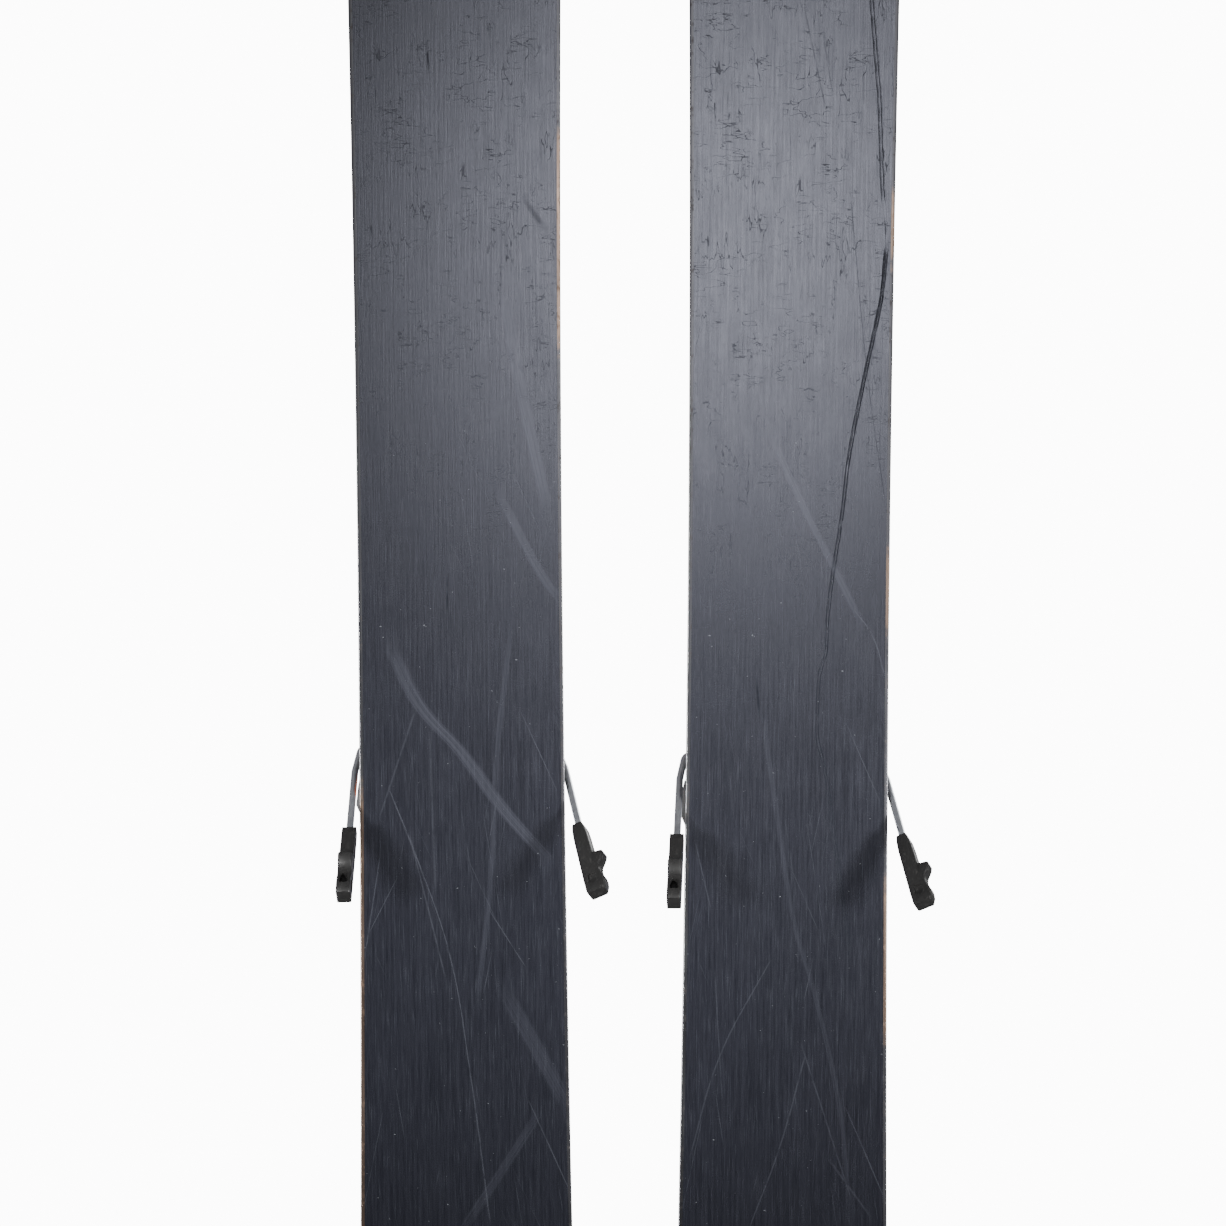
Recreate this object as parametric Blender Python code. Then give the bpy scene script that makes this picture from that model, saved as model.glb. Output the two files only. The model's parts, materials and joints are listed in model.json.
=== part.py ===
"""A pair of wide alpine skis with step-in bindings and ski brakes, brakes down and heels open.

Lengths are in millimetres; MM turns them into Blender's metres. Each ski is drawn in its own frame:
x across, y towards the tip with 0 at half the ski's length, z up from the plane that the base touches.
Both skis are the same part, placed side by side with their tips a little apart.
"""
import math

import bmesh
import bpy
from mathutils import Matrix, Vector

MM = 0.001
GAP = 0.3

# The pair
SKI_SPACING = 184.2  # between the centre lines, at the waist
STAGGER = 6.0  # how far the left ski lies behind the right one
TOE_OUT = 0.57  # degrees that each ski turns away from the other
BASE_HEIGHT = 46.43  # from the brake feet's lowest point up to the plane that the bases touch

# Ski outline
HALF_LENGTH = 925.0
WAIST_Y = -115.0
WAIST_HALF = 57.0
SHOVEL_Y = 700.0
TAIL_WIDE_Y = -850.0
FORE_RADIUS = 25500.0
AFT_RADIUS = 30000.0
TIP_POWER = 2.3
TAIL_POWER = 3.4

# Ski side profile
CAMBER = 3.0
FLAT_REAR_Y = -360.0
FLAT_FRONT_Y = 210.0
TAIL_CONTACT_Y = -780.0
TIP_CONTACT_Y = 560.0
TIP_RISE = 68.0
TAIL_RISE = 14.0
THICK_MIDDLE = 13.0
THICK_TIP = 4.8
THICK_TAIL = 5.6

# Ski sandwich, as heights above the base's running face and insets from the outline
BASE_SHEET = 1.4
EDGE_WIDTH = 2.1
EDGE_HEIGHT = 2.2
EDGE_FLANGE = 6.0
EDGE_FLANGE_THICK = 0.5
TOP_SHEET = 0.7
SIDEWALL_WIDTH = 8.0
SIDEWALL_SLOPE = 1.3

# Binding: heights are above the plane that the base touches
TOP_Z = CAMBER + THICK_MIDDLE
BOOT_HEEL_Y = -222.0
BOOT_HEEL_RADIUS = 33.0
TOE_PLATE_HALF = 35.0
WING_PIVOT = (25.0, 103.0)
WING_BOSS = 8.0
WING_LOW, WING_HIGH = 37.0, 60.0
LUG_TOP = 55.6
POST_RADIUS = 3.0
TOE_BORE_Z = 44.0
TOE_BORE_RADIUS = 9.5
AFD_TOP = 36.0
AFD_HALF = 27.0  # narrow enough to leave the wings' arms clear of the boot's toe
MOUNT_SCREW_X, MOUNT_SCREW_Y = 26.0, 172.5

# Heel piece
CUP_PIVOT = (-262.0, 52.0)  # y, z
CUP_OPEN = 40.0
CUP_HALF = 25.5
CHEEK_HALF = 33.0
SKIRT = [(55.4, -206.0), (57.0, -214.0), (58.1, -224.0), (55.0, -231.0), (30.0, -236.0), (30.0, -206.0)]  # x, y
LEVER_PIVOT = (-286.0, 85.6)
LEVER_OPEN = 15.0
HEEL_BORE_Z = 70.0
HEEL_BORE_RADIUS = 11.0
PRESSURE_SCREW_Z = 25.2

# Brake
BRAKE_PIVOT = (-192.0, 29.0)  # y, z
WIRE_RADIUS = 2.0
ARM_DROP = 42.0  # degrees below level, brakes down
BAR_RADIUS = 32.0
BAR_ANGLE = 60.0
PEDAL_TILT = 34.1
LEG_X = 24.0
ARM_BEND = 17.5
ARM_BEND_X = 58.9
ARM_SPLAY = 0.112
WIRE_END = 84.0
FOOT_START, FOOT_LENGTH = 59.5, 48.0
FOOT_HALF = 3.5
FOOT_TWIST = {"right": 8.0, "left": 76.0}  # degrees that the teeth turn outwards from facing down

MATERIALS = {
    "base": ((0.085, 0.095, 0.12), 0.42, 0.0),
    "steel": ((0.55, 0.56, 0.58), 0.3, 1.0),
    "wood": ((0.62, 0.44, 0.26), 0.6, 0.0),
    "sidewall": ((0.03, 0.03, 0.035), 0.5, 0.0),
    "topsheet": ((0.05, 0.05, 0.055), 0.3, 0.0),
    "black_plastic": ((0.03, 0.03, 0.032), 0.5, 0.0),
    "grey_plastic": ((0.16, 0.16, 0.17), 0.5, 0.0),
    "orange_plastic": ((0.75, 0.16, 0.04), 0.45, 0.0),
    "slider": ((0.75, 0.75, 0.73), 0.35, 0.0),
}


# --- placing things -------------------------------------------------------------------------------

class Frame:
    """An empty on a joint's axis. Pieces on it are drawn in the ski's frame and moved to it."""

    def __init__(self, name, pivot=(0.0, 0.0, 0.0), parent=None, turn_x=0.0):
        self.pivot = Vector(pivot)
        self.empty = bpy.data.objects.new(name, None)
        self.empty.empty_display_size = 0.02
        bpy.context.scene.collection.objects.link(self.empty)
        if parent:
            self.empty.parent = parent.empty
            self.empty.location = (self.pivot - parent.pivot) * MM
            self.empty.rotation_euler = (math.radians(turn_x), 0.0, 0.0)


def material(slot):
    found = bpy.data.materials.get(slot)
    if found:
        return found
    colour, roughness, metallic = MATERIALS[slot]
    made = bpy.data.materials.new(slot)
    made.use_nodes = True
    shader = made.node_tree.nodes["Principled BSDF"]
    shader.inputs["Base Color"].default_value = (*colour, 1.0)
    shader.inputs["Roughness"].default_value = roughness
    shader.inputs["Metallic"].default_value = metallic
    made.diffuse_color = (*colour, 1.0)
    return made


def finish_object(obj, frame, slot):
    """Puts an object that is drawn in the ski's frame on its own frame's empty."""
    obj.data.transform(Matrix.Translation(-frame.pivot * MM))
    obj.parent = frame.empty
    obj.data.materials.append(material(slot))
    if obj.type == "MESH":
        obj.data.shade_smooth()
        obj.data.set_sharp_from_angle(angle=math.radians(35))
    return obj


def new_object(name, data):
    obj = bpy.data.objects.new(name, data)
    bpy.context.scene.collection.objects.link(obj)
    return obj


# --- shapes ---------------------------------------------------------------------------------------

def loft(name, rings):
    """A closed solid through rings of points, in millimetres, with a flat cap at each end."""
    mesh = bpy.data.meshes.new(name)
    bm = bmesh.new()
    made = [[bm.verts.new(Vector(p) * MM) for p in ring] for ring in rings]
    for near, far in zip(made, made[1:]):
        for k in range(len(near)):
            j = (k + 1) % len(near)
            bm.faces.new((near[k], near[j], far[j], far[k]))
    bm.faces.new(made[0][::-1])
    bm.faces.new(made[-1])
    bmesh.ops.recalc_face_normals(bm, faces=bm.faces)
    bm.to_mesh(mesh)
    bm.free()
    return new_object(name, mesh)


def prism_x(name, outline, low, high):
    return loft(name, [[(x, y, z) for y, z in outline] for x in (low, high)])


def prism_y(name, outline, low, high):
    return loft(name, [[(x, y, z) for x, z in outline] for y in (low, high)])


def prism_z(name, outline, low, high):
    return loft(name, [[(x, y, z) for x, y in outline] for z in (low, high)])


def box(name, x, y, z):
    return prism_z(name, [(x[0], y[0]), (x[1], y[0]), (x[1], y[1]), (x[0], y[1])], *z)


def circle(centre, radius, sides):
    return [
        (
            centre[0] + radius * math.cos(2 * math.pi * k / sides),
            centre[1] + radius * math.sin(2 * math.pi * k / sides),
        )
        for k in range(sides)
    ]


def turned(name, profile, along, centre, sides=20):
    """A solid of revolution: profile is (distance along the axis, radius), at least one pair per step."""
    maker = {"x": lambda a, p, q: (a, p, q), "y": lambda a, p, q: (p, a, q), "z": lambda a, p, q: (p, q, a)}
    rings = [[maker[along](a, p, q) for p, q in circle(centre, radius, sides)] for a, radius in profile]
    return loft(name, rings)


def rounded_section(half, low, high, corner, y, steps=3):
    """A ring in a plane of constant y: flat at the bottom, with two round top corners."""
    ring = [(-half, y, low), (half, y, low)]
    for side, start in ((1, 0.0), (-1, 90.0)):
        for k in range(steps + 1):
            a = math.radians(start + 90.0 * k / steps)
            ring.append((side * (half - corner) + corner * math.cos(a), y, high - corner + corner * math.sin(a)))
    return ring


def cut(obj, cutter, operation="DIFFERENCE"):
    """A Boolean with a helper object, which is hidden from the render."""
    modifier = obj.modifiers.new(operation.lower(), "BOOLEAN")
    modifier.object = cutter
    modifier.operation = operation
    modifier.solver = "EXACT"
    cutter.hide_render = True
    cutter.display_type = "WIRE"
    return cutter


def attach_helpers(helpers, frame):
    """Cutters are drawn in the ski's frame too, so they go on the same empty as what they cut."""
    for helper in helpers:
        helper.data.transform(Matrix.Translation(-frame.pivot * MM))
        helper.parent = frame.empty


def add(frame, name, obj, slot, helpers=()):
    """Names a piece, puts it on its frame and cuts or joins its helpers, each given as (object, operation)."""
    obj.name = name
    obj.data.name = name
    for helper, operation in helpers:
        cut(obj, helper, operation)
    attach_helpers([helper for helper, _ in helpers], frame)
    return finish_object(obj, frame, slot)


def rod(name, points, radius, resolution=1):
    """A bent rod along a list of points, as a bevelled curve with filled caps."""
    curve = bpy.data.curves.new(name, "CURVE")
    curve.dimensions = "3D"
    spline = curve.splines.new("POLY")
    spline.points.add(len(points) - 1)
    for slot, p in zip(spline.points, points):
        slot.co = (*(Vector(p) * MM), 1.0)
    curve.bevel_depth = radius * MM
    curve.bevel_resolution = resolution
    curve.use_fill_caps = True
    return new_object(name, curve)


def filleted(corners, radius, steps=4):
    """The corners of a path joined by arcs of the given radius."""
    points = [Vector(corners[0])]
    for before, here, after in zip(corners, corners[1:], corners[2:]):
        before, here, after = Vector(before), Vector(here), Vector(after)
        to_before, to_after = (before - here).normalized(), (after - here).normalized()
        half_angle = to_before.angle(to_after) / 2
        reach = min(radius / math.tan(half_angle), (before - here).length * 0.45, (after - here).length * 0.45)
        start, end = here + to_before * reach, here + to_after * reach
        for k in range(steps + 1):
            t = k / steps
            points.append(start * (1 - t) ** 2 + here * 2 * t * (1 - t) + end * t ** 2)
    points.append(Vector(corners[-1]))
    return points


def coil(name, start, end, radius, wire, turns, z):
    """A compression spring along y, with its last turn at each end closed up."""
    per_turn = 8
    total = turns * per_turn
    points = []
    for k in range(total + 1):
        t = k / total
        eased = t - math.sin(2 * math.pi * t) / (2 * math.pi) * 0.55
        a = 2 * math.pi * turns * t
        y = start + (end - start) * (0.03 + 0.94 * eased)
        points.append((radius * math.cos(a), y, z + radius * math.sin(a)))
    return rod(name, points, wire / 2, resolution=0)


# --- ski ------------------------------------------------------------------------------------------

def smooth(t):
    t = min(1.0, max(0.0, t))
    return t * t * (3 - 2 * t)


def sidecut(y):
    along = y - WAIST_Y
    return WAIST_HALF + along * along / (2 * (FORE_RADIUS if along > 0 else AFT_RADIUS))


def base_z(y):
    """Height of the running face: camber under the boot, rocker at the tip, a small lift at the tail."""
    if y > TIP_CONTACT_Y:
        return TIP_RISE * ((y - TIP_CONTACT_Y) / (HALF_LENGTH - TIP_CONTACT_Y)) ** 2.3
    if y < TAIL_CONTACT_Y:
        return TAIL_RISE * ((TAIL_CONTACT_Y - y) / (HALF_LENGTH + TAIL_CONTACT_Y)) ** 2
    if y > FLAT_FRONT_Y:
        return CAMBER * (1 - smooth((y - FLAT_FRONT_Y) / (TIP_CONTACT_Y - FLAT_FRONT_Y)))
    if y < FLAT_REAR_Y:
        return CAMBER * (1 - smooth((FLAT_REAR_Y - y) / (FLAT_REAR_Y - TAIL_CONTACT_Y)))
    return CAMBER


def thickness(y):
    if y > FLAT_FRONT_Y:
        return THICK_TIP + (THICK_MIDDLE - THICK_TIP) * (1 - smooth((y - FLAT_FRONT_Y) / 500.0))
    if y < FLAT_REAR_Y:
        return THICK_TAIL + (THICK_MIDDLE - THICK_TAIL) * (1 - smooth((FLAT_REAR_Y - y) / 500.0))
    return THICK_MIDDLE


def outline_points():
    """One side of the plan outline, (x, y), from the middle of the tail to the middle of the tip."""
    tail_half, shovel_half = sidecut(TAIL_WIDE_Y), sidecut(SHOVEL_Y)
    tail_reach, tip_reach = HALF_LENGTH + TAIL_WIDE_Y, HALF_LENGTH - SHOVEL_Y
    points = []
    for k in range(6):
        a = math.radians(0.02 + 90 * k / 6)
        x = tail_half * math.sin(a) ** (2 / TAIL_POWER)
        points.append((x, TAIL_WIDE_Y - tail_reach * math.cos(a) ** (2 / TAIL_POWER)))
    steps = 15
    for k in range(steps):
        y = TAIL_WIDE_Y + (SHOVEL_Y - TAIL_WIDE_Y) * k / steps
        points.append((sidecut(y), y))
    for k in range(11):
        a = math.radians(89.8 * k / 10)
        x = shovel_half * math.cos(a) ** (2 / TIP_POWER)
        points.append((x, SHOVEL_Y + tip_reach * math.sin(a) ** (2 / TIP_POWER)))
    return points


def outline_normals(points):
    """The outward normal in plan at each outline point."""
    first, last = points[0], points[-1]
    around = [(-first[0], first[1])] + points + [(-last[0], last[1])]
    normals = []
    for before, after in zip(around, around[2:]):
        along = Vector((after[0] - before[0], after[1] - before[1])).normalized()
        normals.append((along.y, -along.x))
    return normals


def on_ski(x, y, height):
    """A point at a height above the running face, square to it."""
    step = 1.0
    slope = math.atan2(base_z(y + step) - base_z(y - step), 2 * step)
    return (x, y - height * math.sin(slope), base_z(y) + height * math.cos(slope))


OUTLINE = outline_points()
STATIONS = list(zip(OUTLINE, outline_normals(OUTLINE)))
BODY = [station for station in STATIONS if station[0][1] < SHOVEL_Y - 1.0]
TIP = [station for station in STATIONS if station[0][1] > SHOVEL_Y - 1.0]


def inset(station, distance):
    (x, y), (nx, ny) = station
    return max(x - nx * distance, 0.2), y - ny * distance


def tip_stations():
    """The tip's stations, with one more a gap in front of where the core and the sidewalls end."""
    (_, y), normal = BODY[-1]
    return [((sidecut(y + GAP), y + GAP), normal)] + TIP


def sheet_rings(stations, low, high):
    """Rings for a layer that spans the ski; low and high give (inset, height) of its faces at a place."""
    rings = []
    for station in stations:
        corners = []
        for face in (low, high):
            distance, height = face(station[0][1])
            corners.append(on_ski(*inset(station, distance), height))
        bottom, top = corners
        rings.append([(-bottom[0], *bottom[1:]), bottom, top, (-top[0], *top[1:])])
    return rings


def strip_rings(stations, side, section):
    """Rings for a piece that follows one side; section gives (inset, height) pairs at a place."""
    rings = []
    for station in stations:
        ring = [on_ski(*inset(station, distance), height) for distance, height in section(station[0][1])]
        rings.append([(side * x, y, z) for x, y, z in ring])
    return rings


def edge_section(y):
    flange_low = EDGE_HEIGHT - EDGE_FLANGE_THICK
    return [
        (0.0, 0.0), (0.0, EDGE_HEIGHT), (EDGE_FLANGE, EDGE_HEIGHT),
        (EDGE_FLANGE, flange_low), (EDGE_WIDTH, flange_low), (EDGE_WIDTH, 0.0),
    ]


def filling(y):
    """The heights between which the core, the sidewalls and the tip spacer lie."""
    return EDGE_HEIGHT + GAP, thickness(y) - TOP_SHEET - GAP


def sidewall_section(y):
    low, high = filling(y)
    return [(0.0, low), (SIDEWALL_SLOPE, high), (SIDEWALL_WIDTH, high), (SIDEWALL_WIDTH, low)]


def ski_base():
    inside_edge = EDGE_WIDTH + GAP
    return loft("base", sheet_rings(STATIONS, lambda y: (inside_edge, 0.0), lambda y: (inside_edge, BASE_SHEET)))


def core():
    inside_wall = SIDEWALL_WIDTH + GAP
    return loft("core", sheet_rings(
        BODY, lambda y: (inside_wall, filling(y)[0]), lambda y: (inside_wall, filling(y)[1])))


def tip_spacer():
    return loft("spacer", sheet_rings(
        tip_stations(), lambda y: (0.0, filling(y)[0]), lambda y: (SIDEWALL_SLOPE, filling(y)[1])))


def topsheet():
    return loft("topsheet", sheet_rings(
        STATIONS, lambda y: (SIDEWALL_SLOPE, thickness(y) - TOP_SHEET), lambda y: (SIDEWALL_SLOPE, thickness(y))))


def build_ski(frame, prefix):
    add(frame, prefix + "base", ski_base(), "base")
    for side, word in ((1, "right"), (-1, "left")):
        add(frame, f"{prefix}edge_{word}", loft("edge", strip_rings(STATIONS, side, edge_section)), "steel")
        add(frame, f"{prefix}sidewall_{word}", loft("wall", strip_rings(BODY, side, sidewall_section)), "sidewall")
    add(frame, prefix + "core", core(), "wood", screw_holes())
    add(frame, prefix + "tip_spacer", tip_spacer(), "sidewall")
    add(frame, prefix + "topsheet", topsheet(), "topsheet", screw_holes())


# --- toe piece ------------------------------------------------------------------------------------

def screw_holes():
    """Cutters for the two front mounting screws, wide enough to leave a gap round each shank."""
    return [
        (turned("screw_hole", [(TOP_Z - 7.5, 2.9), (TOP_Z + 8.0, 2.9)], "z",
                (side * MOUNT_SCREW_X, MOUNT_SCREW_Y), 12), "DIFFERENCE")
        for side in (1, -1)
    ]


def toe_baseplate():
    low, deck, pedestal = TOP_Z + GAP, TOP_Z + 6.3, AFD_TOP - 5.4
    groove_low = pedestal - 4.6
    side_view = [
        (34.0, low), (182.0, low), (182.0, deck - 2.2), (176.0, deck), (86.0, deck), (84.0, pedestal),
        (64.6, pedestal), (64.6, groove_low), (59.4, groove_low), (59.4, pedestal), (42.0, pedestal),
        (36.0, deck), (34.0, deck - 1.0),
    ]
    return prism_x("plate", side_view, -TOE_PLATE_HALF, TOE_PLATE_HALF)


def afd_slider():
    """The low-friction pad under the boot's toe, with a rib that runs in the plate's cross groove."""
    low = AFD_TOP - 5.0
    side_view = [
        (43.0, low), (60.0, low), (60.0, low - 4.2), (64.0, low - 4.2), (64.0, low), (82.0, low),
        (83.0, low + 2.0), (81.0, AFD_TOP), (46.0, AFD_TOP), (43.0, low + 2.5),
    ]
    return prism_x("afd", side_view, -AFD_HALF, AFD_HALF)


def toe_housing():
    low = TOP_Z + 6.3 + GAP
    stations = [
        (90.0, 33.0, 66.0, 9.0), (96.0, 33.5, 67.0, 10.0), (114.0, 32.5, 66.5, 11.0), (136.0, 28.5, 62.5, 11.0),
        (152.0, 24.5, 57.0, 10.0), (163.0, 20.5, 51.0, 8.0), (167.0, 17.5, 47.5, 6.0),
    ]
    return loft("housing", [rounded_section(half, low, top, corner, y) for y, half, top, corner in stations])


def toe_housing_helpers():
    helpers = []
    px, py = WING_PIVOT
    for side in (1, -1):
        sides = sorted((side * 14.5, side * 60.0))
        helpers.append((box("wing_pocket", sides, (80.0, 112.0), (WING_LOW - 0.4, WING_HIGH + 0.4)), "DIFFERENCE"))
    helpers.append((turned("spring_bore", [(115.0, TOE_BORE_RADIUS), (180.0, TOE_BORE_RADIUS)], "y",
                           (0.0, TOE_BORE_Z), 20), "DIFFERENCE"))
    for side in (1, -1):
        helpers.append((turned("wing_post", [(WING_LOW - 2.0, POST_RADIUS), (WING_HIGH + 2.0, POST_RADIUS)], "z",
                               (side * px, py), 12), "UNION"))
    return helpers


def toe_wing(side):
    """A jaw that holds the boot's toe from the side and from above, round a vertical post."""
    px, py = WING_PIVOT
    boss = [(px + WING_BOSS * math.cos(math.radians(a)), py + WING_BOSS * math.sin(math.radians(a)))
            for a in range(0, 211, 30)]
    arm = [(21.0, 92.5), (26.5, 84.0), (32.5, 74.0), (36.5, 62.0), (39.5, 56.0), (43.5, 57.0),
           (46.0, 66.0), (44.5, 80.0), (38.5, 94.0)]
    return prism_z("wing", [(side * x, y) for x, y in boss + arm], WING_LOW, WING_HIGH)


def toe_wing_helpers(side):
    px, py = WING_PIVOT
    lip = [(16.5, 88.6), (24.0, 77.5), (28.5, 68.0), (31.0, 58.0), (42.0, 60.0), (40.0, 80.0), (30.0, 95.0), (20.0, 96.0)]
    return [
        (prism_z("wing_lip", [(side * x, y) for x, y in lip], LUG_TOP, WING_HIGH - 0.8), "UNION"),
        (turned("wing_bore", [(WING_LOW - 2.0, POST_RADIUS + 0.45), (WING_HIGH + 2.0, POST_RADIUS + 0.45)], "z",
                (side * px, py), 12), "DIFFERENCE"),
    ]


def slotted_screw(name, start, end, radius, axis_z, sides=20):
    """A round adjuster along y whose head faces -y or +y, at end, with a driver slot across it."""
    inward = 1.0 if start > end else -1.0
    obj = turned(name, [(start, radius * 0.8), (start + (end - start) * 0.25, radius * 0.8),
                        (start + (end - start) * 0.3, radius), (end + inward * 1.0, radius), (end, radius - 1.0)],
                 "y", (0.0, axis_z), sides)
    slot = box(name + "_slot", (-radius * 0.72, radius * 0.72), sorted((end - inward * 2.0, end + inward * 2.4)),
               (axis_z - 1.0, axis_z + 1.0))
    return obj, [(slot, "DIFFERENCE")]


def build_toe(frame, prefix):
    add(frame, prefix + "toe_baseplate", toe_baseplate(), "black_plastic", screw_holes())
    add(frame, prefix + "toe_housing", toe_housing(), "black_plastic", toe_housing_helpers())
    add(frame, prefix + "toe_spring", coil("spring", 117.5, 149.0, 7.0, 2.6, 5, TOE_BORE_Z), "steel")
    adjuster = Frame(prefix + "toe_adjuster_axis", (0.0, 158.0, TOE_BORE_Z), frame)
    screw, helpers = slotted_screw("adjuster", 151.0, 169.5, TOE_BORE_RADIUS - 0.6, TOE_BORE_Z)
    add(adjuster, prefix + "toe_release_screw", screw, "grey_plastic", helpers)
    slide = Frame(prefix + "afd_axis", (0.0, 62.0, AFD_TOP), frame)
    add(slide, prefix + "afd_slider", afd_slider(), "slider")
    for side, word in ((1, "right"), (-1, "left")):
        pivot = Frame(f"{prefix}wing_{word}_axis", (side * WING_PIVOT[0], WING_PIVOT[1], WING_LOW), frame)
        add(pivot, f"{prefix}toe_wing_{word}", toe_wing(side), "black_plastic", toe_wing_helpers(side))
        screw = turned("mount_screw", [(TOP_Z - 7.0, 2.5), (TOP_Z + 6.6, 2.5), (TOP_Z + 6.7, 5.0),
                                       (TOP_Z + 8.0, 4.6), (TOP_Z + 8.6, 3.0)], "z",
                       (side * MOUNT_SCREW_X, MOUNT_SCREW_Y), 12)
        add(frame, f"{prefix}mount_screw_{word}", screw, "steel")


# --- heel piece -----------------------------------------------------------------------------------

def heel_track():
    """A fixed plate with two T-shaped rails."""
    low, deck = TOP_Z + GAP, TOP_Z + 3.3
    half = [
        (31.0, low), (31.0, deck), (25.0, deck), (25.0, deck + 2.2), (28.0, deck + 2.2), (28.0, deck + 4.4),
        (19.0, deck + 4.4), (19.0, deck + 2.2), (22.0, deck + 2.2), (22.0, deck),
    ]
    outline = half + [(-x, z) for x, z in reversed(half)]
    return prism_y("track", outline, -345.0, -216.0)


def heel_carriage():
    """A block that runs on the rails, open along its middle for the cup, with a cheek at each side."""
    side_view = [
        (-204.0, 20.6), (-204.0, 34.0), (-222.0, 38.0), (-240.0, 50.0), (-250.0, 60.0), (-262.0, 63.0),
        (-274.0, 60.0), (-286.0, 46.0), (-292.0, 38.0), (-292.0, 20.6),
    ]
    return prism_x("carriage", side_view, -CHEEK_HALF, CHEEK_HALF)


def heel_carriage_helpers():
    inner = CUP_HALF + 0.4
    track_top = TOP_Z + 3.3 + 4.4
    skirts = [
        (prism_z("skirt", [(side * x, y) for x, y in SKIRT], 21.2, 24.2), "UNION") for side in (1, -1)
    ]
    return skirts + [
        (box("cup_well", (-inner, inner), (-300.0, -200.0), (33.6, 80.0)), "DIFFERENCE"),
        (box("rail_room", (-29.0, 29.0), (-300.0, -190.0), (15.0, track_top + 0.5)), "DIFFERENCE"),
        (turned("pin_bore", [(-40.0, 3.9), (40.0, 3.9)], "x", CUP_PIVOT, 12), "DIFFERENCE"),
    ]


def heel_cup():
    """The jaw over the boot's heel, drawn shut."""
    side_view = [
        (-206.0, 46.0), (-206.0, 70.0), (-209.0, 76.0), (-219.0, 85.0), (-240.0, 93.0), (-268.0, 95.0),
        (-284.0, 93.0), (-292.0, 89.0), (-294.5, 81.0), (-303.0, 78.0), (-303.0, 62.0), (-290.0, 56.0),
        (-276.0, 45.0), (-262.0, 42.0), (-248.0, 43.0), (-226.0, 43.0),
    ]
    return prism_x("cup", side_view, -CUP_HALF, CUP_HALF)


def heel_cup_helpers():
    centre = (0.0, BOOT_HEEL_Y + BOOT_HEEL_RADIUS)
    return [
        (turned("heel_room", [(30.0, BOOT_HEEL_RADIUS + 2.0), (68.5, BOOT_HEEL_RADIUS + 2.0)], "z", centre, 40),
         "DIFFERENCE"),
        (turned("lip_room", [(66.0, BOOT_HEEL_RADIUS - 6.0), (110.0, BOOT_HEEL_RADIUS - 6.0)], "z", centre, 40),
         "DIFFERENCE"),
        (turned("spring_bore", [(-310.0, HEEL_BORE_RADIUS), (-236.0, HEEL_BORE_RADIUS)], "y",
                (0.0, HEEL_BORE_Z), 20), "DIFFERENCE"),
        (turned("pin_bore", [(-40.0, 3.9), (40.0, 3.9)], "x", CUP_PIVOT, 12), "DIFFERENCE"),
        (box("lever_slot", (-9.0, 9.0), (-310.0, -274.0), (79.0, 110.0)), "DIFFERENCE"),
        (turned("lever_pin", [(-12.0, 2.4), (12.0, 2.4)], "x", LEVER_PIVOT, 12), "UNION"),
    ]


def heel_lever():
    """The lever that a pole tip presses, drawn with the cup shut."""
    y, z = LEVER_PIVOT
    side_view = [
        (y + 5.0, z - 1.0), (y + 4.0, z + 4.5), (y - 4.0, z + 9.0), (y - 20.0, z + 20.0), (y - 40.0, z + 32.0),
        (y - 52.0, z + 36.0), (y - 54.0, z + 31.0), (y - 40.0, z + 22.0), (y - 22.0, z + 10.0), (y - 8.0, z + 1.0),
        (y - 4.0, z - 4.0), (y + 3.0, z - 4.5),
    ]
    return prism_x("lever", side_view, -8.4, 8.4)


def heel_lever_helpers():
    y, z = LEVER_PIVOT
    pad = [
        (-8.0, y - 20.0), (8.0, y - 20.0), (17.0, y - 30.0), (19.0, y - 44.0), (13.0, y - 53.0),
        (-13.0, y - 53.0), (-19.0, y - 44.0), (-17.0, y - 30.0),
    ]
    rise = 0.62
    rings = [[(px, py, z + 7.0 + rise * (y - 18.0 - py) + lift) for px, py in pad] for lift in (0.0, 6.0)]
    return [
        (loft("lever_pad", rings), "UNION"),
        (turned("lever_bore", [(-20.0, 2.9), (20.0, 2.9)], "x", LEVER_PIVOT, 12), "DIFFERENCE"),
    ]


def build_heel(frame, prefix):
    add(frame, prefix + "heel_track", heel_track(), "grey_plastic")
    carriage = Frame(prefix + "carriage_axis", (0.0, -250.0, 30.0), frame)
    add(carriage, prefix + "heel_carriage", heel_carriage(), "black_plastic", heel_carriage_helpers())
    pin = turned("pin", [(-33.8, 3.0), (-33.6, 3.5), (33.6, 3.5), (33.8, 3.0)], "x", CUP_PIVOT, 16)
    add(carriage, prefix + "heel_pivot_pin", pin, "steel")
    adjuster = Frame(prefix + "pressure_axis", (0.0, -302.0, PRESSURE_SCREW_Z), carriage)
    screw, helpers = slotted_screw("pressure", -292.6, -303.0, 4.3, PRESSURE_SCREW_Z, 16)
    add(adjuster, prefix + "forward_pressure_screw", screw, "steel", helpers)

    cup = Frame(prefix + "cup_axis", (0.0, *CUP_PIVOT), carriage, CUP_OPEN)
    add(cup, prefix + "heel_cup", heel_cup(), "black_plastic", heel_cup_helpers())
    add(cup, prefix + "heel_spring", coil("spring", -239.0, -284.0, 8.2, 3.2, 5, HEEL_BORE_Z), "steel")
    release = Frame(prefix + "heel_adjuster_axis", (0.0, -295.0, HEEL_BORE_Z), cup)
    screw, helpers = slotted_screw("release", -286.0, -304.0, HEEL_BORE_RADIUS - 0.6, HEEL_BORE_Z)
    add(release, prefix + "heel_release_screw", screw, "grey_plastic", helpers)
    lever = Frame(prefix + "lever_axis", (0.0, *LEVER_PIVOT), cup, LEVER_OPEN)
    add(lever, prefix + "heel_lever", heel_lever(), "orange_plastic", heel_lever_helpers())
    return carriage


# --- brake ----------------------------------------------------------------------------------------

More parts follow.
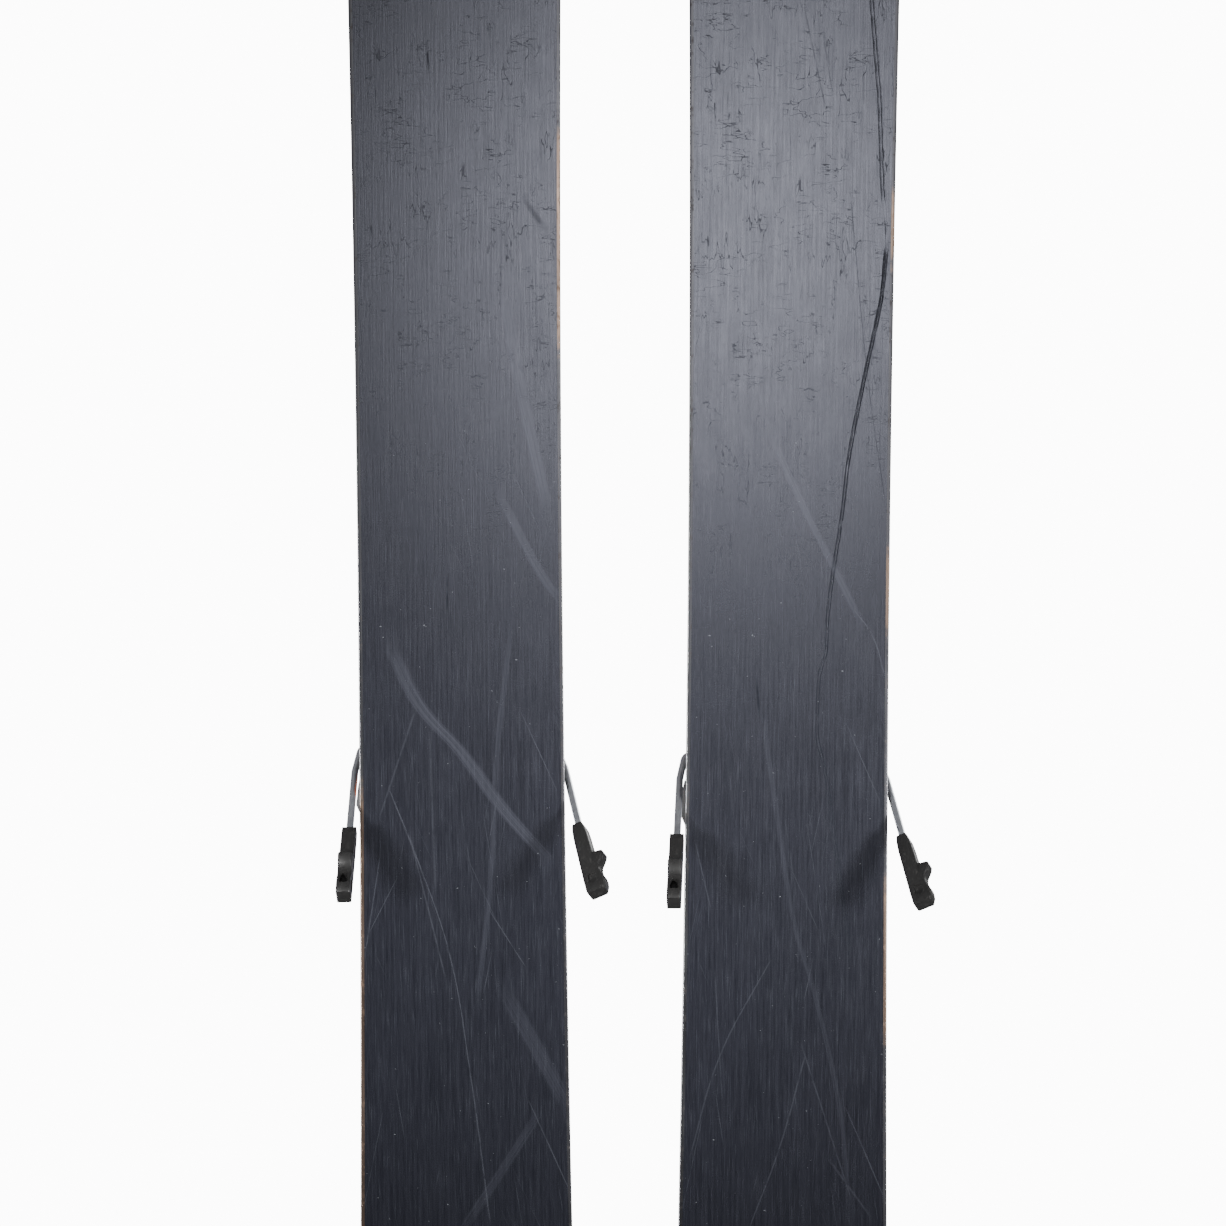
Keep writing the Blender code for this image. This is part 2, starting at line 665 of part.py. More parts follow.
ARM_ALONG = Vector((0.0, -math.cos(math.radians(ARM_DROP)), -math.sin(math.radians(ARM_DROP))))
ARM_FACE = Vector((0.0, math.sin(math.radians(ARM_DROP)), -math.cos(math.radians(ARM_DROP))))
BAR = (BRAKE_PIVOT[0] + BAR_RADIUS * math.cos(math.radians(BAR_ANGLE)),
       BRAKE_PIVOT[1] + BAR_RADIUS * math.sin(math.radians(BAR_ANGLE)))


def arm_point(side, distance):
    """The centre of a brake arm's wire at a distance from the pivot axis."""
    x = ARM_BEND_X + ARM_SPLAY * (distance - ARM_BEND)
    return Vector((side * x, *BRAKE_PIVOT)) + ARM_ALONG * distance


def brake_wire():
    """One bent wire: foot, arm, pivot stretch, leg, the bar under the pedal, and back down the other side."""
    half = [
        (0.0, *BAR), (LEG_X, *BAR), (LEG_X, *BRAKE_PIVOT), (54.5, *BRAKE_PIVOT), arm_point(1, ARM_BEND),
        arm_point(1, WIRE_END),
    ]
    right = filleted([Vector(p) for p in half], 5.0)
    left = [Vector((-p.x, p.y, p.z)) for p in right]
    return rod("wire", left[:0:-1] + right, WIRE_RADIUS)


def brake_foot(side, twist):
    """The toothed plastic foot moulded on an arm's end; twist turns its teeth outwards."""
    start, end = arm_point(side, FOOT_START), arm_point(side, FOOT_START + FOOT_LENGTH)
    along = (end - start).normalized()
    outward = Vector((side, 0.0, 0.0))
    tooth = ARM_FACE * math.cos(math.radians(twist)) + outward * math.sin(math.radians(twist))
    tooth = (tooth - along * tooth.dot(along)).normalized()
    across = along.cross(tooth)
    profile = [
        (0.0, -2.7), (0.0, 2.9), (3.5, 3.6), (10.0, 4.4), (24.0, 4.8), (25.2, 6.4), (27.0, 8.1), (28.6, 7.9),
        (32.0, 6.2), (36.0, 5.5), (41.0, 5.8), (45.0, 6.0), (47.0, 5.4), (48.0, 4.0), (48.0, -3.6), (46.5, -3.9),
        (10.0, -4.3), (3.5, -3.9),
    ]
    rings = []
    for v, shrink in ((-FOOT_HALF, 0.82), (-FOOT_HALF + 1.0, 1.0), (FOOT_HALF - 1.0, 1.0), (FOOT_HALF, 0.82)):
        rings.append([start + along * u + tooth * (t * shrink) + across * v for u, t in profile])
    foot = loft("foot", rings)
    bore_points = [arm_point(side, FOOT_START - 4.0), arm_point(side, WIRE_END + 0.6)]
    pockets = [(20.0, 24.6, 3.3), (37.0, 43.4, 2.9)]
    helpers = [(tube_between("foot_bore", *bore_points, WIRE_RADIUS + 0.42), "DIFFERENCE")]
    for low, high, floor in pockets:
        rings = [
            [start + along * u + tooth * t + across * v for u, t in ((low, floor), (high, floor), (high, 14.0), (low, 14.0))]
            for v in (-2.1, 2.1)
        ]
        helpers.append((loft("foot_pocket", rings), "DIFFERENCE"))
    return foot, helpers


def tube_between(name, start, end, radius, sides=12):
    along = (end - start).normalized()
    across = along.orthogonal().normalized()
    other = along.cross(across)
    return loft(name, [[p + across * a + other * b for a, b in circle((0.0, 0.0), radius, sides)] for p in (start, end)])


def brake_plate():
    low = TOP_Z + GAP + 0.2
    return box("plate", (-43.0, 43.0), (-203.7, -150.0), (low, low + 3.4))


def brake_plate_helpers():
    y, z = BRAKE_PIVOT
    tower = [(y - 8.0, TOP_Z + 2.0), (y + 8.0, TOP_Z + 2.0), (y + 4.5, z + 4.6), (y - 4.5, z + 4.6)]
    helpers = []
    for side in (1, -1):
        low, high = sorted((side * 31.0, side * 41.5))
        helpers.append((prism_x("tower", tower, low, high), "UNION"))
    helpers.append((turned("wire_bore", [(-50.0, 2.65), (50.0, 2.65)], "x", BRAKE_PIVOT, 12), "DIFFERENCE"))
    return helpers


def pedal_points(outline):
    """Turns (distance behind the bar, height over it) into the ski's y and z."""
    tilt = math.radians(PEDAL_TILT)
    return [
        (BAR[0] - u * math.cos(tilt) - n * math.sin(tilt), BAR[1] - u * math.sin(tilt) + n * math.cos(tilt))
        for u, n in outline
    ]


def brake_pedal():
    plate = [(-8.0, 1.0), (-6.0, 5.6), (0.0, 6.6), (34.0, 6.6), (37.0, 4.6), (36.0, 2.9), (-5.0, 2.9), (-7.0, 0.2)]
    return prism_x("pedal", pedal_points(plate), -29.0, 29.0)


def brake_pedal_helpers():
    block = [(-5.0, -4.6), (5.0, -4.6), (5.5, 4.0), (-5.5, 4.0)]
    return [
        (prism_x("barrel", pedal_points(block), -16.5, 16.5), "UNION"),
        (turned("bar_bore", [(-18.0, 2.6), (18.0, 2.6)], "x", BAR, 12), "DIFFERENCE"),
    ]


def build_brake(carriage, prefix):
    add(carriage, prefix + "brake_plate", brake_plate(), "black_plastic", brake_plate_helpers())
    swing = Frame(prefix + "brake_axis", (0.0, *BRAKE_PIVOT), carriage)
    add(swing, prefix + "brake_wire", brake_wire(), "steel")
    for side, word in ((1, "right"), (-1, "left")):
        foot, helpers = brake_foot(side, FOOT_TWIST[word])
        add(swing, f"{prefix}brake_foot_{word}", foot, "black_plastic", helpers)
    pedal = Frame(prefix + "pedal_axis", (0.0, *BAR), swing)
    add(pedal, prefix + "brake_pedal", brake_pedal(), "black_plastic", brake_pedal_helpers())


# --- the pair -------------------------------------------------------------------------------------

def clear_scene():
    for obj in list(bpy.data.objects):
        bpy.data.objects.remove(obj)


def build_pair():
    for side, word in ((1, "right"), (-1, "left")):
        prefix = word + "_ski_"
        ski = Frame(prefix + "frame")
        turn = -side * math.radians(TOE_OUT)
        ski.empty.rotation_euler = (0.0, 0.0, turn)
        at_waist = Vector((side * SKI_SPACING / 2, WAIST_Y + side * STAGGER / 2, BASE_HEIGHT)) * MM
        ski.empty.location = at_waist - Matrix.Rotation(turn, 3, "Z") @ Vector((0.0, WAIST_Y * MM, 0.0))
        build_ski(ski, prefix)
        build_toe(ski, prefix)
        carriage = build_heel(ski, prefix)
        build_brake(carriage, prefix)


clear_scene()
build_pair()
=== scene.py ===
"""The looks of a pair of wide alpine skis with step-in bindings, seen from under their bases.

Shapes are drawn in millimetres in a ski's own frame: x across, y towards the tip, z up from the plane
that the base touches. MM turns them into metres and ski_matrix() puts them in the shared frame.
"""

import json
import math

import bmesh
import bpy
from mathutils import Matrix, Vector

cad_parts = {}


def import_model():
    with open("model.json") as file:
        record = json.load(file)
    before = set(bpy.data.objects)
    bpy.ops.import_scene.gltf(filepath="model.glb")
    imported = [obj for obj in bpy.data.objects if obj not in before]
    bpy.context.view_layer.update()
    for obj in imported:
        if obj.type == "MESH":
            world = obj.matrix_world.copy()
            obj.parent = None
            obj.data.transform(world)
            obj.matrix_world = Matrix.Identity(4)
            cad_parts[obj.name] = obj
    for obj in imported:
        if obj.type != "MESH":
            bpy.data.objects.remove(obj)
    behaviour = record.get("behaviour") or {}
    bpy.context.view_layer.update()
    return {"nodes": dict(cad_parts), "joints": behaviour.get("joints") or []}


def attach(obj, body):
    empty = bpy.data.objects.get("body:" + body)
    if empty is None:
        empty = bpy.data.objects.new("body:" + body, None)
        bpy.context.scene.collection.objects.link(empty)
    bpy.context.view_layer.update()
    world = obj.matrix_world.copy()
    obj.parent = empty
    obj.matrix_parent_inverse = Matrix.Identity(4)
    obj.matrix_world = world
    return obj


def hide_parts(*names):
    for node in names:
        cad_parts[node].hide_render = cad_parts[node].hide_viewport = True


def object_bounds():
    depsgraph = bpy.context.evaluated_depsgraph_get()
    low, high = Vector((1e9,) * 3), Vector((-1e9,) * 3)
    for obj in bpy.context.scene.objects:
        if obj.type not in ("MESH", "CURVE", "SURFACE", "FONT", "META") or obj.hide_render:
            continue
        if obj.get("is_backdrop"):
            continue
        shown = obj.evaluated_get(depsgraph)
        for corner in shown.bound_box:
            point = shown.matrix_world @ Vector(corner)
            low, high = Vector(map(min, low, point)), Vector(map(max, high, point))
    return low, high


MM = 0.001

# The ski's outline, side profile and layers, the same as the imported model's
HALF_LENGTH = 925.0
WAIST_Y, WAIST_HALF = -115.0, 57.0
SHOVEL_Y, TAIL_WIDE_Y = 700.0, -850.0
FORE_RADIUS, AFT_RADIUS = 25500.0, 30000.0
TIP_POWER, TAIL_POWER = 2.3, 3.4
CAMBER = 3.0
FLAT_REAR_Y, FLAT_FRONT_Y = -360.0, 210.0
TAIL_CONTACT_Y, TIP_CONTACT_Y = -780.0, 560.0
TIP_RISE, TAIL_RISE = 68.0, 14.0
TIP_CURL, TAIL_CURL = 2.3, 2
THICK_MIDDLE, THICK_TIP, THICK_TAIL = 13.0, 4.8, 5.6
TAPER_LENGTH = 500.0
EDGE_WIDTH, EDGE_HEIGHT = 2.1, 2.2
TOP_SHEET = 0.7
SIDEWALL_WIDTH, SIDEWALL_SLOPE = 8.0, 1.3
CORE_END_Y, SPACER_START_Y = SHOVEL_Y - 103.0, SHOVEL_Y - 104.0

# What only the looks have: the edges' worn corner, the hairline between layers, the bases' rim
EDGE_ROUND, JOIN, RIM_HEIGHT = 0.5, 0.04, 1.3

# The brake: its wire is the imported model's, its feet are fuller and the left one is turned less
BRAKE_PIVOT = (-192.0, 29.0)  # y, z
WIRE_RADIUS = 2.0
ARM_DROP = 42.0
BAR_RADIUS, BAR_ANGLE = 32.0, 60.0
LEG_X = 24.0
PIVOT_HALF = 54.5
ARM_BEND, ARM_BEND_X, ARM_SPLAY = 17.5, 58.9, 0.112
WIRE_END = 84.0
FOOT_START, FOOT_LENGTH, FOOT_HALF = 59.5, 48.0, 3.9
FOOT_TWIST = {"right": 8.0, "left": 62.0}
WIRE_FILLET, FOOT_ROUND = 5.0, 0.35

# Where the camera stands and what it looks at, in metres
CAMERA_TARGET = (0.0066, -0.1142, 0.0528)
CAMERA_DISTANCE = 2.6
CAMERA_YAW = 6.3
CAMERA_FIELD = 15.0

# Lights: name, place, target, size in metres, power in watts, spread in degrees
MIDDLE, FEET = (0.0, 0.0, 0.05), (0.0, -0.25, 0.05)
LIGHTS = (
    ("under_key", (-0.40, 0.31, -2.45), MIDDLE, 0.58, 13.6, 180.0),
    ("under_left", (0.85, -0.25, -0.85), FEET, 0.25, 1.1, 34.0),
    ("under_right", (-0.85, -0.25, -0.85), FEET, 0.25, 1.1, 34.0),
    ("over_key", (1.3, -1.5, 2.4), MIDDLE, 1.8, 85.0, 180.0),
    ("over_fill", (-1.7, 1.1, 2.0), MIDDLE, 1.8, 55.0, 180.0),
)
BACKDROP_COLOUR, BACKDROP_STRENGTH = (1.0, 1.0, 1.0, 1.0), 12.0
SKY_COLOUR, SKY_STRENGTH = (0.95, 0.96, 1.0, 1.0), 0.20
FLOOR_SIZE, FLOOR_DROP = 30.0, 0.0005

# The course of the deepest mark on each base, as x, y from the tail end forwards
RIGHT_COURSE = [(-12.9, -455.4), (-2.6, -371.8), (7.9, -307.7), (24.1, -257.4), (40.3, -215.5)]
LEFT_COURSE = [
    (-36.5, -299.8), (-28.6, -247.2), (-21.3, -199.5), (-16.6, -177.2), (-17.6, -146.3), (-21.2, -132.3),
    (-21.8, -114.9), (-24.2, -92.5), (-29.5, -56.0), (-33.7, -19.4), (-41.8, 22.7), (-51.0, 67.8),
]

# Long marks on the bases: (kind, half width in mm, strength, points as x, y from the tail end forwards)
MARKS = {
    "right": [
        ("smear", 4.5, 1.0, [(-47.6, -54.8), (-40.7, -21.3), (-32.7, 17.7), (-27.5, 51.1)]),
        ("smear", 2.5, 0.8, [(-57.0, 45.4), (-50.1, 78.9)]),
        ("smear", 3.6, 1.0, [(-55.5, -110.5), (-47.2, -99.3), (-23.6, -54.6)]),
        ("smear", 5.2, 1.0, [(-45.7, -253.0), (-23.6, -227.6), (1.2, -193.9), (23.2, -168.6),
                             (38.4, -137.9)]),
        ("smear", 6.0, 0.55, [(-56.6, -392.4), (-39.0, -358.6), (-23.7, -330.5)]),
        ("smear", 4.0, 0.5, [(1.0, -457.9), (-21.6, -425.0), (-39.8, -397.6)]),
        ("smear", 2.0, 0.55, [(-7.5, -330.2), (-14.8, -269.2), (-19.4, -196.9), (-27.3, -130.3)]),
        ("scratch", 0.5, 0.8, RIGHT_COURSE),
        ("scratch", 0.7, 0.5, [(10.8, -318.7), (29.5, -240.7)]),
        ("scratch", 0.9, 0.4, [(46.0, -229.3), (26.0, -171.3)]),
        ("scratch", 1.0, 0.35, [(15.8, -268.7), (17.8, -185.3)]),
        ("scratch", 0.5, 0.7, [(-33.9, -314.0), (-14.6, -283.1)]),
        ("scratch", 0.5, 0.7, [(55.1, -306.8), (46.2, -251.5)]),
        ("scratch", 0.4, 0.8, [(52.2, -293.0), (36.9, -263.9)]),
        ("dark", 0.9, 0.9, [(15.2, 186.2), (15.7, 197.6)]),
        ("dark", 0.9, 0.9, [(7.6, -115.5), (7.5, -98.8)]),
        # A soft, faint darkening near the ski's side.
        ("dark", 3.0, 0.35, [(-49.1, 95.6), (-43.6, 103.9), (-38.1, 112.3)]),
    ],
    "left": [
        # The gouge's two dark lines are painted shade over its cut grooves.
        ("gouge", 0.62, 0.9, LEFT_COURSE + [(-53.6, 95.0)]),
        ("dark", 1.2, 1.0, [(16.4, -167.3), (17.7, -150.5)]),
        ("dark", 0.7, 0.3, [(-17.6, 173.7), (-5.7, 226.7)]),
        ("dark", 0.6, 0.25, [(-21.5, 182.2), (-15.5, 218.5)]),
        ("dark", 0.4, 0.4, [(-53.9, -47.2), (-44.7, 11.6), (-32.3, 126.4)]),
        ("smear", 2.8, 1.0, [(-40.3, -114.7), (-23.0, -81.3), (-8.5, -53.4), (8.8, -17.2)]),
        ("scratch", 0.6, 0.8, [(-54.8, -146.0), (-46.1, -120.8), (-37.4, -109.7)]),
        ("smear", 1.8, 0.4, [(-37.9, -443.4), (-31.7, -390.1), (-16.9, -325.7), (-5.2, -286.5),
                              (3.8, -236.1), (12.9, -177.4)]),
        ("scratch", 0.7, 0.45, [(52.8, -415.1), (36.5, -359.2), (8.8, -306.1)]),
        ("scratch", 0.6, 0.4, [(35.1, -381.6), (39.7, -314.5)]),
        ("scratch", 0.7, 0.5, [(18.6, -454.4), (2.1, -409.7), (-11.6, -359.3)]),
        ("scratch", 0.7, 0.45, [(-37.9, -437.8), (-9.8, -353.7)]),
        ("scratch", 0.6, 0.5, [(42.9, -275.4), (51.7, -239.1)]),
        ("scratch", 1.1, 0.4, [(-49.3, -449.1), (-26.3, -418.1)]),
    ],
}

# The gouge cut in each base: its course, and its stretches as (from y, to y, depth, lines side by side)
GOUGE_COURSE = {
    "right": RIGHT_COURSE,
    "left": LEFT_COURSE + [(-53.0, 95.0), (-52.4, 112.0), (-50.8, 129.5), (-48.8, 177.2), (-43.7, 233.2),
                           (-41.0, 300.0)],
}
GOUGE_CUTS = {
    "right": [(-455.0, -216.0, 0.04, (0.0,))],
    "left": [(-300.0, -205.0, 0.04, (0.0,)), (-205.0, -148.0, 0.05, (0.0,)),
             (-148.0, -30.0, 0.07, (-0.6, 0.5)), (-30.0, 95.0, 0.14, (-0.6, 0.5)),
             (118.0, 250.0, 0.10, (-0.9, 0.9)), (98.0, 112.0, 0.12, (0.0,))],
}
GOUGE_OFFSETS = (-2.8, -2.2, -1.8, -1.5, -1.2, -0.9, -0.7, -0.5, -0.25, 0.0,
                 0.25, 0.5, 0.7, 0.9, 1.2, 1.5, 1.8, 2.2, 2.8)

# The base's grid: the stretch that carries marks, and the distance between rows in it and outside it
MARKED_REAR_Y, MARKED_FRONT_Y = -470.0, 290.0
FINE_ROW, COARSE_ROW = 2.4, 12.0

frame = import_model()
joints = {j["name"]: j for j in frame["joints"]}


# --- places ---------------------------------------------------------------------------------------

def ski_matrix(word):
    """From a ski's own frame, in metres, to the shared frame."""
    along = Vector(joints[word + "_heel_carriage_slide"]["axis"]).normalized()
    up = Vector((0.0, 0.0, 1.0))
    across = along.cross(up)
    pivot = Vector(joints[word + "_brake_pivot"]["pos_m"])
    origin = pivot - along * BRAKE_PIVOT[0] * MM - up * BRAKE_PIVOT[1] * MM
    return Matrix.Translation(origin) @ Matrix((across, along, up)).transposed().to_4x4()


def smooth(t):
    t = min(1.0, max(0.0, t))
    return t * t * (3 - 2 * t)


def along_points(points, y):
    """The x of a course at y, given its points in order of y."""
    if y <= points[0][1]:
        return points[0][0]
    for (x0, y0), (x1, y1) in zip(points, points[1:]):
        if y <= y1:
            return x0 + (x1 - x0) * (y - y0) / (y1 - y0)
    return points[-1][0]


def sidecut(y):
    along = y - WAIST_Y
    return WAIST_HALF + along * along / (2 * (FORE_RADIUS if along > 0 else AFT_RADIUS))


def base_z(y):
    """Height of the running face: camber under the boot, rocker at the tip, a small lift at the tail."""
    if y > TIP_CONTACT_Y:
        return TIP_RISE * ((y - TIP_CONTACT_Y) / (HALF_LENGTH - TIP_CONTACT_Y)) ** TIP_CURL
    if y < TAIL_CONTACT_Y:
        return TAIL_RISE * ((TAIL_CONTACT_Y - y) / (HALF_LENGTH + TAIL_CONTACT_Y)) ** TAIL_CURL
    if y > FLAT_FRONT_Y:
        return CAMBER * (1 - smooth((y - FLAT_FRONT_Y) / (TIP_CONTACT_Y - FLAT_FRONT_Y)))
    if y < FLAT_REAR_Y:
        return CAMBER * (1 - smooth((FLAT_REAR_Y - y) / (FLAT_REAR_Y - TAIL_CONTACT_Y)))
    return CAMBER


def thickness(y):
    if y > FLAT_FRONT_Y:
        return THICK_TIP + (THICK_MIDDLE - THICK_TIP) * (1 - smooth((y - FLAT_FRONT_Y) / TAPER_LENGTH))
    if y < FLAT_REAR_Y:
        return THICK_TAIL + (THICK_MIDDLE - THICK_TAIL) * (1 - smooth((FLAT_REAR_Y - y) / TAPER_LENGTH))
    return THICK_MIDDLE


def on_ski(x, y, height):
    """A point at a height above the running face, square to it."""
    slope = math.atan2(base_z(y + 1.0) - base_z(y - 1.0), 2.0)
    return (x, y - height * math.sin(slope), base_z(y) + height * math.cos(slope))


def outline(tail_steps=22, body_steps=150, tip_steps=40):
    """Stations ((x, y), outward normal) along one side, from the tail's middle to the tip's middle."""
    tail_half, shovel_half = sidecut(TAIL_WIDE_Y), sidecut(SHOVEL_Y)
    tail_reach, tip_reach = HALF_LENGTH + TAIL_WIDE_Y, HALF_LENGTH - SHOVEL_Y
    points = []
    for k in range(tail_steps):
        a = math.radians(0.02 + 90 * k / tail_steps)
        points.append((tail_half * math.sin(a) ** (2 / TAIL_POWER),
                       TAIL_WIDE_Y - tail_reach * math.cos(a) ** (2 / TAIL_POWER)))
    for k in range(body_steps):
        y = TAIL_WIDE_Y + (SHOVEL_Y - TAIL_WIDE_Y) * k / body_steps
        points.append((sidecut(y), y))
    for k in range(tip_steps + 1):
        a = math.radians(89.8 * k / tip_steps)
        points.append((shovel_half * math.cos(a) ** (2 / TIP_POWER),
                       SHOVEL_Y + tip_reach * math.sin(a) ** (2 / TIP_POWER)))
    around = [(-points[0][0], points[0][1])] + points + [(-points[-1][0], points[-1][1])]
    stations = []
    for before, here, after in zip(around, around[1:], around[2:]):
        direction = Vector((after[0] - before[0], after[1] - before[1])).normalized()
        stations.append((here, (direction.y, -direction.x)))
    return stations


def inset(station, distance):
    (x, y), (nx, ny) = station
    return max(x - nx * distance, 0.1), y - ny * distance


STATIONS = outline()


# --- node trees -----------------------------------------------------------------------------------

class Surface:
    """A principled material and short calls that add nodes to it."""

    def __init__(self, name, **uniform):
        self.material = bpy.data.materials.new(name)
        self.material.use_nodes = True
        self.nodes = self.material.node_tree.nodes
        self.links = self.material.node_tree.links
        self.shader = self.nodes["Principled BSDF"]
        for key, value in uniform.items():
            self.shader.inputs[key.replace("_", " ")].default_value = value
        self.place = self.add("ShaderNodeTexCoord").outputs["Object"]

    def add(self, kind, **settings):
        node = self.nodes.new(kind)
        for key, value in settings.items():
            setattr(node, key, value)
        return node

    def feed(self, socket, value):
        if isinstance(value, bpy.types.NodeSocket):
            self.links.new(value, socket)
        else:
            socket.default_value = value

    def math(self, operation, *values):
        node = self.add("ShaderNodeMath", operation=operation)
        for socket, value in zip(node.inputs, values):
            self.feed(socket, value)
        return node.outputs[0]

    def scaled(self, scale, vector=None):
        node = self.add("ShaderNodeMapping")
        self.feed(node.inputs["Vector"], vector or self.place)
        node.inputs["Scale"].default_value = scale
        return node.outputs[0]

    def noise(self, scale, vector=None, detail=3.0, roughness=0.55, distortion=0.0):
        """Noise from 0 to 1; scale is one number or one per axis, in features per metre."""
        node = self.add("ShaderNodeTexNoise")
        scale = scale if isinstance(scale, tuple) else (scale, scale, scale)
        self.feed(node.inputs["Vector"], self.scaled(scale, vector))
        node.inputs["Scale"].default_value = 1.0
        node.inputs["Detail"].default_value = detail
        node.inputs["Roughness"].default_value = roughness
        node.inputs["Distortion"].default_value = distortion
        return node.outputs["Fac"]

    def range(self, value, low, high, to_low=0.0, to_high=1.0, soft=False):
        node = self.add("ShaderNodeMapRange", interpolation_type="SMOOTHSTEP" if soft else "LINEAR")
        for socket, number in zip(node.inputs, (value, low, high, to_low, to_high)):
            self.feed(socket, number)
        return node.outputs[0]

    def mix(self, fraction, first, second):
        node = self.add("ShaderNodeMix", data_type="RGBA")
        for name, value in (("Factor_Float", fraction), ("A_Color", first), ("B_Color", second)):
            socket = next(s for s in node.inputs if s.identifier == name)
            self.feed(socket, value if isinstance(value, (float, bpy.types.NodeSocket)) else (*value, 1.0))
        return next(s for s in node.outputs if s.identifier == "Result_Color")

    def curve(self, value, points):
        node = self.add("ShaderNodeFloatCurve")
        line = node.mapping.curves[0]
        line.points[0].location = points[0]
        line.points[1].location = points[-1]
        for x, y in points[1:-1]:
            line.points.new(x, y)
        for point in line.points:
            point.handle_type = "AUTO_CLAMPED"
        node.mapping.update()
        self.feed(node.inputs["Value"], value)
        return node.outputs[0]

    def split(self, vector=None):
        node = self.add("ShaderNodeSeparateXYZ")
        self.feed(node.inputs[0], vector or self.place)
        return node.outputs[0], node.outputs[1], node.outputs[2]

    def vector(self, x, y, z=0.0):
        node = self.add("ShaderNodeCombineXYZ")
        for socket, value in zip(node.inputs, (x, y, z)):
            self.feed(socket, value)
        return node.outputs[0]

    def bump(self, height, strength, distance):
        node = self.add("ShaderNodeBump")
        node.inputs["Strength"].default_value = strength
        node.inputs["Distance"].default_value = distance
        self.feed(node.inputs["Height"], height)
        return node.outputs[0]

    def finish(self, **sockets):
        for key, value in sockets.items():
            self.feed(self.shader.inputs[key.replace("_", " ")], value)
        return self.material


GOUGE_SPLIT = 0.75  # the gouge's two lines of painted shade lie this far each side of its course
MARK_REACH = 70.0  # mm each side of the centre line that a mark's curve covers


def mark_strength(s, x, y, mark):
    """A long mark's strength: full along its middle, 0 past its sides and ends, and broken by streaks."""
    kind, half, strength, points = mark
    start, end = points[0][1], points[-1][1]
    course = [((py - start) / (end - start), (px + MARK_REACH) / (2 * MARK_REACH)) for px, py in points]
    t = s.range(y, start * MM, end * MM)
    centre = s.curve(t, course)
    offset = s.math("MULTIPLY_ADD", centre, -2 * MARK_REACH * MM, x)
    offset = s.math("ADD", offset, MARK_REACH * MM)
    away = s.math("ABSOLUTE", offset)
    # The gouge's painted shade lies in two lines, one each side of its course.
    if kind == "gouge":
        away = s.math("ABSOLUTE", s.math("SUBTRACT", away, GOUGE_SPLIT * MM))
    core = half * (0.45 if kind == "smear" else 0.1)
    inside = s.range(away, half * MM, core * MM, soft=True)
    fade = 16.0 if kind == "smear" else 6.0
    begun = s.range(y, (start - fade) * MM, (start + fade) * MM, soft=True)
    ended = s.range(y, (end + fade) * MM, (end - fade) * MM, soft=True)
    held = s.math("MULTIPLY", s.math("MULTIPLY", inside, begun), ended)
    if kind == "smear":
        streak = s.noise((1500.0, 14.0, 1.0), s.vector(offset, y), detail=2.0)
        held = s.math("MULTIPLY", held, s.range(streak, 0.34, 0.62, 0.35, 1.0))
    else:
        broken = s.noise((60.0, 120.0, 1.0), s.vector(offset, y), detail=2.0)
        held = s.math("MULTIPLY", held, s.range(broken, 0.32, 0.5, 0.1, 1.0))
    return s.math("MULTIPLY", held, strength)


def strongest(s, values):
    total = values[0]
    for value in values[1:]:
        total = s.math("MAXIMUM", total, value)
    return total


def hairlines(s, scale, seed, width, amount):
    """Short broken hairline cracks: contours of a stretched noise, kept in patches."""
    shifted = s.add("ShaderNodeMapping")
    s.feed(shifted.inputs["Vector"], s.place)
    shifted.inputs["Location"].default_value = (seed, seed * 0.7, 0.0)
    level = s.noise(scale, shifted.outputs[0], detail=3.0, roughness=0.6)
    away = s.math("ABSOLUTE", s.math("SUBTRACT", level, 0.5))
    broken = s.range(s.noise((80.0, 60.0, 1.0), shifted.outputs[0]), 0.42, 0.52)
    line = s.math("MULTIPLY", s.range(away, width, width * 0.2), broken)
    patches = s.noise((38.0, 26.0, 1.0), shifted.outputs[0], detail=2.0)
    return s.math("MULTIPLY", line, s.range(patches, 1.0 - amount, 1.08 - amount))


def fine_scratches(s, angle, seed):
    """Long fine scratches at a slant to the ski, thinning out towards the tip."""
    turned = s.add("ShaderNodeMapping")
    s.feed(turned.inputs["Vector"], s.place)
    turned.inputs["Location"].default_value = (seed, seed * 0.3, 0.0)
    turned.inputs["Rotation"].default_value = (0.0, 0.0, math.radians(angle))
    lines = s.noise((640.0, 5.0, 1.0), turned.outputs[0], detail=1.0)
    thin = s.range(lines, 0.70, 0.78)
    held = s.range(s.noise((30.0, 22.0, 1.0), turned.outputs[0]), 0.46, 0.60)
    return s.math("MULTIPLY", thin, held)


# The base's colours
GROUND_DARK, GROUND_PALE = (0.0040, 0.0043, 0.0066), (0.0122, 0.0127, 0.0175)
THREAD, SMEAR = (0.040, 0.042, 0.052), (0.040, 0.042, 0.053)
# The darkest colour serves cracks, dark marks and the painted shade in the gouge.
SCRATCH, SPECK, CRACK_MARK_AND_SHADE = (0.065, 0.068, 0.082), (0.24, 0.25, 0.27), (0.006, 0.007, 0.010)


